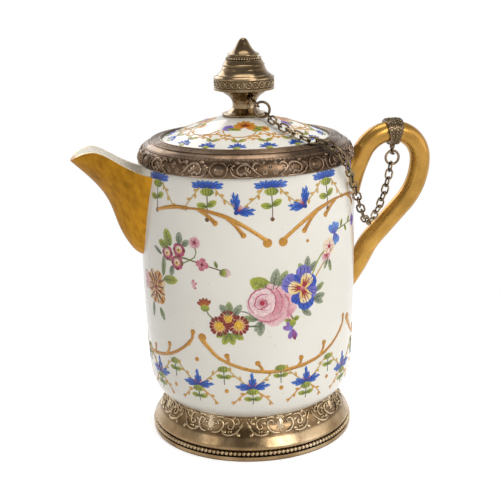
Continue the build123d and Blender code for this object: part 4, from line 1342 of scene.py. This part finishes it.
def longScroll(piece, at, points, width, height=0.50):
    widths = [width * share for share in (0.4, 1.0, 1.0, 0.8, 0.5)]
    stroke(piece, at, points, widths, bare, height=height, seed="long")


def chasedFlower(piece, at, u, v):
    for k in range(5):
        g = math.radians(72 * k + 18)
        boss(piece, at, u + math.cos(g) * 0.62, v + math.sin(g) * 0.62, 0.46, 0.30)
    boss(piece, at, u, v, 0.36, 0.50)


def rimShell(piece, at):
    for side in (-1, 1):
        longScroll(piece, at, mirrored(rimChasing["oval"], side), 0.55, 0.40)
        longScroll(piece, at, spiral(side * 3.9, side * 0.9, 1.3, 90 - side * 90, 0.9, side), 0.42)
    petal(piece, at, 0, -1.3, 0, 2.7, 3.4, bare, bare, 0, 1.0, 0.0, 0.30, 0.05)
    for heading in rimChasing["shellRays"]:
        frond(piece, at, 0, -1.2, heading, 2.2, 0.5, 0.46)


def rimUnit(piece, azimuth):
    look = rimChasing
    middle = (look["low"] + look["high"]) / 2
    at = pen("rim_mount", azimuth, middle)
    for u, v in look["flowers"]:
        chasedFlower(piece, at, u, v)
    for side in (-1, 1):
        for points, width in look["scrolls"]:
            longScroll(piece, at, mirrored(points, side), width)
        for u, v, heading, length in look["fronds"]:
            frond(piece, at, side * u, v, side * heading, length, look["frondWidth"])
    # an oval shell stands between two units
    rimShell(piece, pen("rim_mount", azimuth + 180 / look["repeats"], middle))


def makeRimRelief():
    piece = bmesh.new()
    look = rimChasing
    for k in range(look["repeats"]):
        rimUnit(piece, look["first"] + 360 / look["repeats"] * k)
    count, radius, over = look["milling"]
    for k in range(count):
        boss(piece, pen("rim_mount", 360 / count * k, look["high"] + over), 0, 0, radius, 0.10)
    finishPiece(piece, "rimRelief", raisedRimHighlight, "jug")


def footUnit(piece, azimuth):
    look = footChasing
    at = pen("foot_mount", azimuth, (look["low"] + look["high"]) / 2)
    for side in (-1, 1):
        for points, width, height in look["scrolls"]:
            longScroll(piece, at, mirrored(points, side), width, height)
        for u, v, heading, length in look["fronds"]:
            frond(piece, at, side * u, v, side * heading, length, look["frondWidth"], look["frondHeight"])
        for u, v in look["bosses"]:
            boss(piece, at, side * u, v, look["bossRadius"], look["bossHeight"])
    # in the middle an oval boss in a wreath, with a small crown over it
    petal(piece, at, 0, -1.6, 0, 3.6, 2.6, bare, bare, 0, 1.0, 0.0, 0.50, 0.05)
    for heading in look["crown"]:
        frond(piece, at, 0, 1.6, heading, 2.0, 0.8, 0.40)
    wide, high = look["wreath"]
    for k in range(look["wreathBeads"]):
        g = 2 * math.pi * k / look["wreathBeads"]
        boss(piece, at, math.cos(g) * wide, 0.2 + math.sin(g) * high, 0.32, 0.34)


def makeFootRelief():
    piece = bmesh.new()
    look = footChasing
    for k in range(look["repeats"]):
        footUnit(piece, look["first"] + 360 / look["repeats"] * k)
    finishPiece(piece, "footRelief", raisedFootHighlight, "jug")


# turned and beaded silver

def ring(piece, radius, height, wire, steps=120, segments=8):
    made = bmesh.ops.create_circle(piece, cap_ends=False, segments=segments, radius=wire / 1000)
    verts = made["verts"]
    upright = Matrix.Rotation(math.radians(90), 3, "X")
    bmesh.ops.rotate(piece, verts=verts, cent=(0, 0, 0), matrix=upright)
    bmesh.ops.translate(piece, verts=verts, vec=(radius / 1000, 0, height / 1000))
    edges = list(dict.fromkeys(e for v in verts for e in v.link_edges))
    bmesh.ops.spin(piece, geom=verts + edges, cent=(0, 0, 0), axis=(0, 0, 1), angle=2 * math.pi, steps=steps,
                   use_merge=True, use_duplicate=False)


def bead(piece, radius, azimuth, height, size):
    a = math.radians(azimuth)
    place = Matrix.Translation((math.cos(a) * radius / 1000, math.sin(a) * radius / 1000, height / 1000))
    bmesh.ops.create_uvsphere(piece, u_segments=8, v_segments=6, radius=size / 1000, matrix=place)


def smoothAll(piece):
    for face in piece.faces:
        face.smooth = True


# radius and height of a row, radius of a bead, and how many beads
beadRows = {"foot": (37.8, 2.8, 0.84, 148), "cap": (6.05, 141.35, 0.48, 40)}


def makeBeads(name, row, material, body, replaced):
    radius, height, size, count = beadRows[row]
    piece = bmesh.new()
    for k in range(count):
        bead(piece, radius, 360 / count * k, height, size)
    # the wire that carries them
    ring(piece, radius - 0.25, height, size * 0.62)
    smoothAll(piece)
    finishPiece(piece, name, material, body, replaced)


def sideRadius(name, height):
    place = onSide(name, -90, height, 0.0)
    return math.hypot(place.x, place.y) * 1000


def topHeight(name, radius):
    return onTop(name, -90, radius, 0.0).z * 1000


mountLines = {
    # height and wire on the rim, radius and wire on the lid's ring
    "rim": ((110.75, 0.24), (111.05, 0.16)),
    "lid": ((31.5, 0.42), (32.6, 0.26), (33.4, 0.26), (34.2, 0.26), (34.9, 0.30)),
    "steps": 160,
}


def makeMountLines():
    silver = finishes["rim_silver"]
    piece = bmesh.new()
    for height, wire in mountLines["rim"]:
        ring(piece, sideRadius("rim_mount", height), height, wire, mountLines["steps"])
    smoothAll(piece)
    finishPiece(piece, "rimLines", silver, "jug")
    piece = bmesh.new()
    for radius, wire in mountLines["lid"]:
        ring(piece, radius, topHeight("lid_mount", radius), wire, mountLines["steps"])
    smoothAll(piece)
    finishPiece(piece, "lidRingLines", silver, "lid")


bore = 1.6       # radius of the hole for the rod
joint = 0.02     # left free between two turned parts
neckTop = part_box("finial_base")[1][2] * 1000
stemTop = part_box("finial_stem")[1][2] * 1000
# the base follows the dome, a little above it
seat = [(radius, topHeight("lid_dome", radius) + 0.1) for radius in (bore, 3.6, 6.0, 8.0)]
foot = seat[-1][1]
turnedParts = {
    # radius and height round each profile
    "turnedBase": ("finial_base", (
        *seat, (8.1, foot + 0.2), (8.1, foot + 0.72), (7.8, foot + 0.98), (7.0, foot + 1.1),
        (6.1, foot + 1.4), (5.3, (foot + 1.4 + neckTop) / 2), (4.75, neckTop - 0.35), (4.5, neckTop - joint),
        (bore, neckTop - joint))),
    "turnedStem": ("finial_stem", (
        (bore, neckTop + joint), (4.5, neckTop + joint), (4.35, neckTop + 0.9), (4.42, neckTop + 1.9),
        (4.75, neckTop + 2.9), (5.35, neckTop + 3.8), (6.2, neckTop + 4.6), (7.3, neckTop + 5.3),
        (8.9, stemTop - joint), (bore, stemTop - joint))),
    "turnedBand": ("finial_band", (
        (bore, 130.1), (9.2, 130.1), (10.7, 130.25), (11.08, 130.55), (11.08, 131.0), (10.8, 131.15),
        (10.8, 133.95), (11.08, 134.1), (11.08, 134.6), (10.9, 134.85), (10.2, 135.1), (10.0, 135.34),
        (bore, 135.34))),
    "turnedShoulder": ("finial_shoulder", (
        (bore, 135.37), (9.9, 135.37), (9.85, 135.6), (9.2, 136.0), (8.5, 136.7), (8.05, 137.5),
        (7.75, 138.3), (7.5, 138.55), (7.5, 138.75), (7.72, 138.95), (7.72, 139.2), (7.35, 139.45),
        (7.0, 140.2), (6.75, 140.55), (6.6, 140.88), (bore, 140.88))),
}
sharpTurn = math.radians(38)


def turned(profile):
    # a lathe-turned solid from its profile
    piece = bmesh.new()
    verts = [piece.verts.new((r / 1000, 0, z / 1000)) for r, z in profile]
    edges = [piece.edges.new((verts[k - 1], verts[k])) for k in range(len(verts))]
    bmesh.ops.spin(piece, geom=verts + edges, cent=(0, 0, 0), axis=(0, 0, 1), angle=2 * math.pi, steps=96,
                   use_merge=True, use_duplicate=False)
    smoothAll(piece)
    piece.normal_update()
    for edge in piece.edges:
        if len(edge.link_faces) == 2:
            edge.smooth = edge.calc_face_angle(0.0) < sharpTurn
    return piece


def makeTurnedParts():
    for name, (node, profile) in turnedParts.items():
        finish = bandSilver if node == "finial_band" else finishes["finial_silver"]
        finishPiece(turned(profile), name, finish, "lid", (node,))


finialWork = {
    # a row of small rings with a bead in each, round the band
    "rings": 27, "ringRadius": 1.10, "ringWire": 0.21, "ringLevel": 132.55, "bandRadius": 10.8,
    "hubBead": 0.30,
    # rows of beads: height, radius of the row, and radius of a bead
    "rows": ((130.35, 10.75, 0.30), (foot + 0.46, 8.0, 0.36)), "spacing": 2.2,
}


def bandRingMesh():
    bm = bmesh.new()
    ring(bm, finialWork["ringRadius"], 0, finialWork["ringWire"], 12, 6)
    mesh = bpy.data.meshes.new("bandRing")
    bm.to_mesh(mesh)
    bm.free()
    return mesh


def makeFinialWork():
    piece = bmesh.new()
    look = finialWork
    radius, level = look["bandRadius"], look["ringLevel"]
    step = 360 / look["rings"]
    ringMesh = bandRingMesh()
    upright = Matrix.Rotation(math.radians(90), 4, "Y")
    ringMesh.transform(Matrix.Translation((radius / 1000, 0, level / 1000)) @ upright)
    for k in range(look["rings"]):
        # the ring's mesh moves on by one step after each copy
        piece.from_mesh(ringMesh)
        ringMesh.transform(Matrix.Rotation(math.radians(step), 4, "Z"))
        bead(piece, radius, step * k, level, look["hubBead"])
    for height, radius, size in look["rows"]:
        count = int(2 * math.pi * radius / (size * look["spacing"]))
        for k in range(count):
            bead(piece, radius, 360 / count * k, height, size)
    smoothAll(piece)
    finishPiece(piece, "finialBandWork", raisedFinialHighlight, "lid")


plait = {
    # shares of the strap's width, strands round it, and a strand's size in millimetres
    "columns": (0.14, 0.32, 0.5, 0.68, 0.86), "strands": 30, "long": 0.95, "thick": 0.36, "slant": 42,
}


def makeCollarPlait():
    low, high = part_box("handle_collar")
    middle = (Vector(low) + Vector(high)) / 2
    shape = Matrix.Diagonal((plait["long"], plait["thick"], plait["thick"], 1))
    piece = bmesh.new()
    for column, share in enumerate(plait["columns"]):
        x = low[0] + (high[0] - low[0]) * share
        # strands slant one way and then the other
        slant = math.radians(plait["slant"] * (1 if column % 2 else -1))
        for k in range(plait["strands"]):
            g = 2 * math.pi * k / plait["strands"]
            outward = Vector((0, math.cos(g), math.sin(g)))
            start = Vector((x, middle.y, middle.z)) + outward * 0.02
            place = surfaces["handle_collar"].ray_cast(start, -outward)[0]
            if place is None:
                continue
            around = Vector((1, 0, 0)).cross(outward)
            along = Vector((1, 0, 0)) * math.sin(slant) + around * math.cos(slant)
            turn = Matrix((along, outward.cross(along), outward)).transposed().to_4x4()
            bmesh.ops.create_uvsphere(piece, u_segments=8, v_segments=6, radius=0.001,
                                      matrix=Matrix.Translation(place) @ turn @ shape)
    smoothAll(piece)
    finishPiece(piece, "collarPlait", finishes["collar_silver"], "jug")


makeRimRelief()
makeFootRelief()
makeMountLines()
makeBeads("footBeads", "foot", raisedFootHighlight, "jug", ("foot_bead_wire",))
makeBeads("capBeads", "cap", raisedFinialHighlight, "lid", ("finial_bead_ring",))
makeTurnedParts()
makeFinialWork()
makeCollarPlait()


spoutLook = {
    # metres: points closer than this are one, how far off a face its ray starts,
    # and half the width of the channel's floor
    "merge": 0.000002, "rayStart": 0.00005, "floorHalf": 0.003,
    "sharpAngle": 32,
    # the materials' places on the mesh
    "gilded": 0, "lip": 1, "porcelain": 2,
}


def spoutFinish(tree, face):
    centre, normal = face.calc_center_median(), face.normal
    # the channel's sides face each other, and its floor faces back towards the jug
    inward = centre.y * normal.y < -0.0000004 and abs(normal.y) > 0.12
    floorFace = abs(centre.y) < spoutLook["floorHalf"] and normal.x > 0.1
    facing = tree.ray_cast(centre + normal * spoutLook["rayStart"], normal)[0]
    if inward or floorFace or facing is not None:
        return spoutLook["porcelain"]
    if normal.z > 0.45 and normal.x > -0.6:
        return spoutLook["lip"] if abs(centre.y) > 0.0001 else spoutLook["porcelain"]
    return spoutLook["gilded"]


def makeSpout():
    # gilded outside with a bright lip, white porcelain in the channel
    piece = bmesh.new()
    piece.from_mesh(nodes["spout"].data)
    bmesh.ops.remove_doubles(piece, verts=piece.verts, dist=spoutLook["merge"])
    tree = BVHTree.FromBMesh(piece)
    for face in piece.faces:
        face.material_index = spoutFinish(tree, face)
        face.smooth = True
    for edge in piece.edges:
        if len(edge.link_faces) == 2:
            edge.smooth = edge.calc_face_angle(0.0) < math.radians(spoutLook["sharpAngle"])
    mesh = bpy.data.meshes.new("gildedSpout")
    piece.to_mesh(mesh)
    piece.free()
    for material in (finishes["spout_gold"], lipGold, finishes["porcelain"]):
        mesh.materials.append(material)
    obj = bpy.data.objects.new("gildedSpout", mesh)
    scene.collection.objects.link(obj)
    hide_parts("spout")
    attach(obj, "jug")
    print("gildedSpout has", len(mesh.polygons), "faces")


makeSpout()
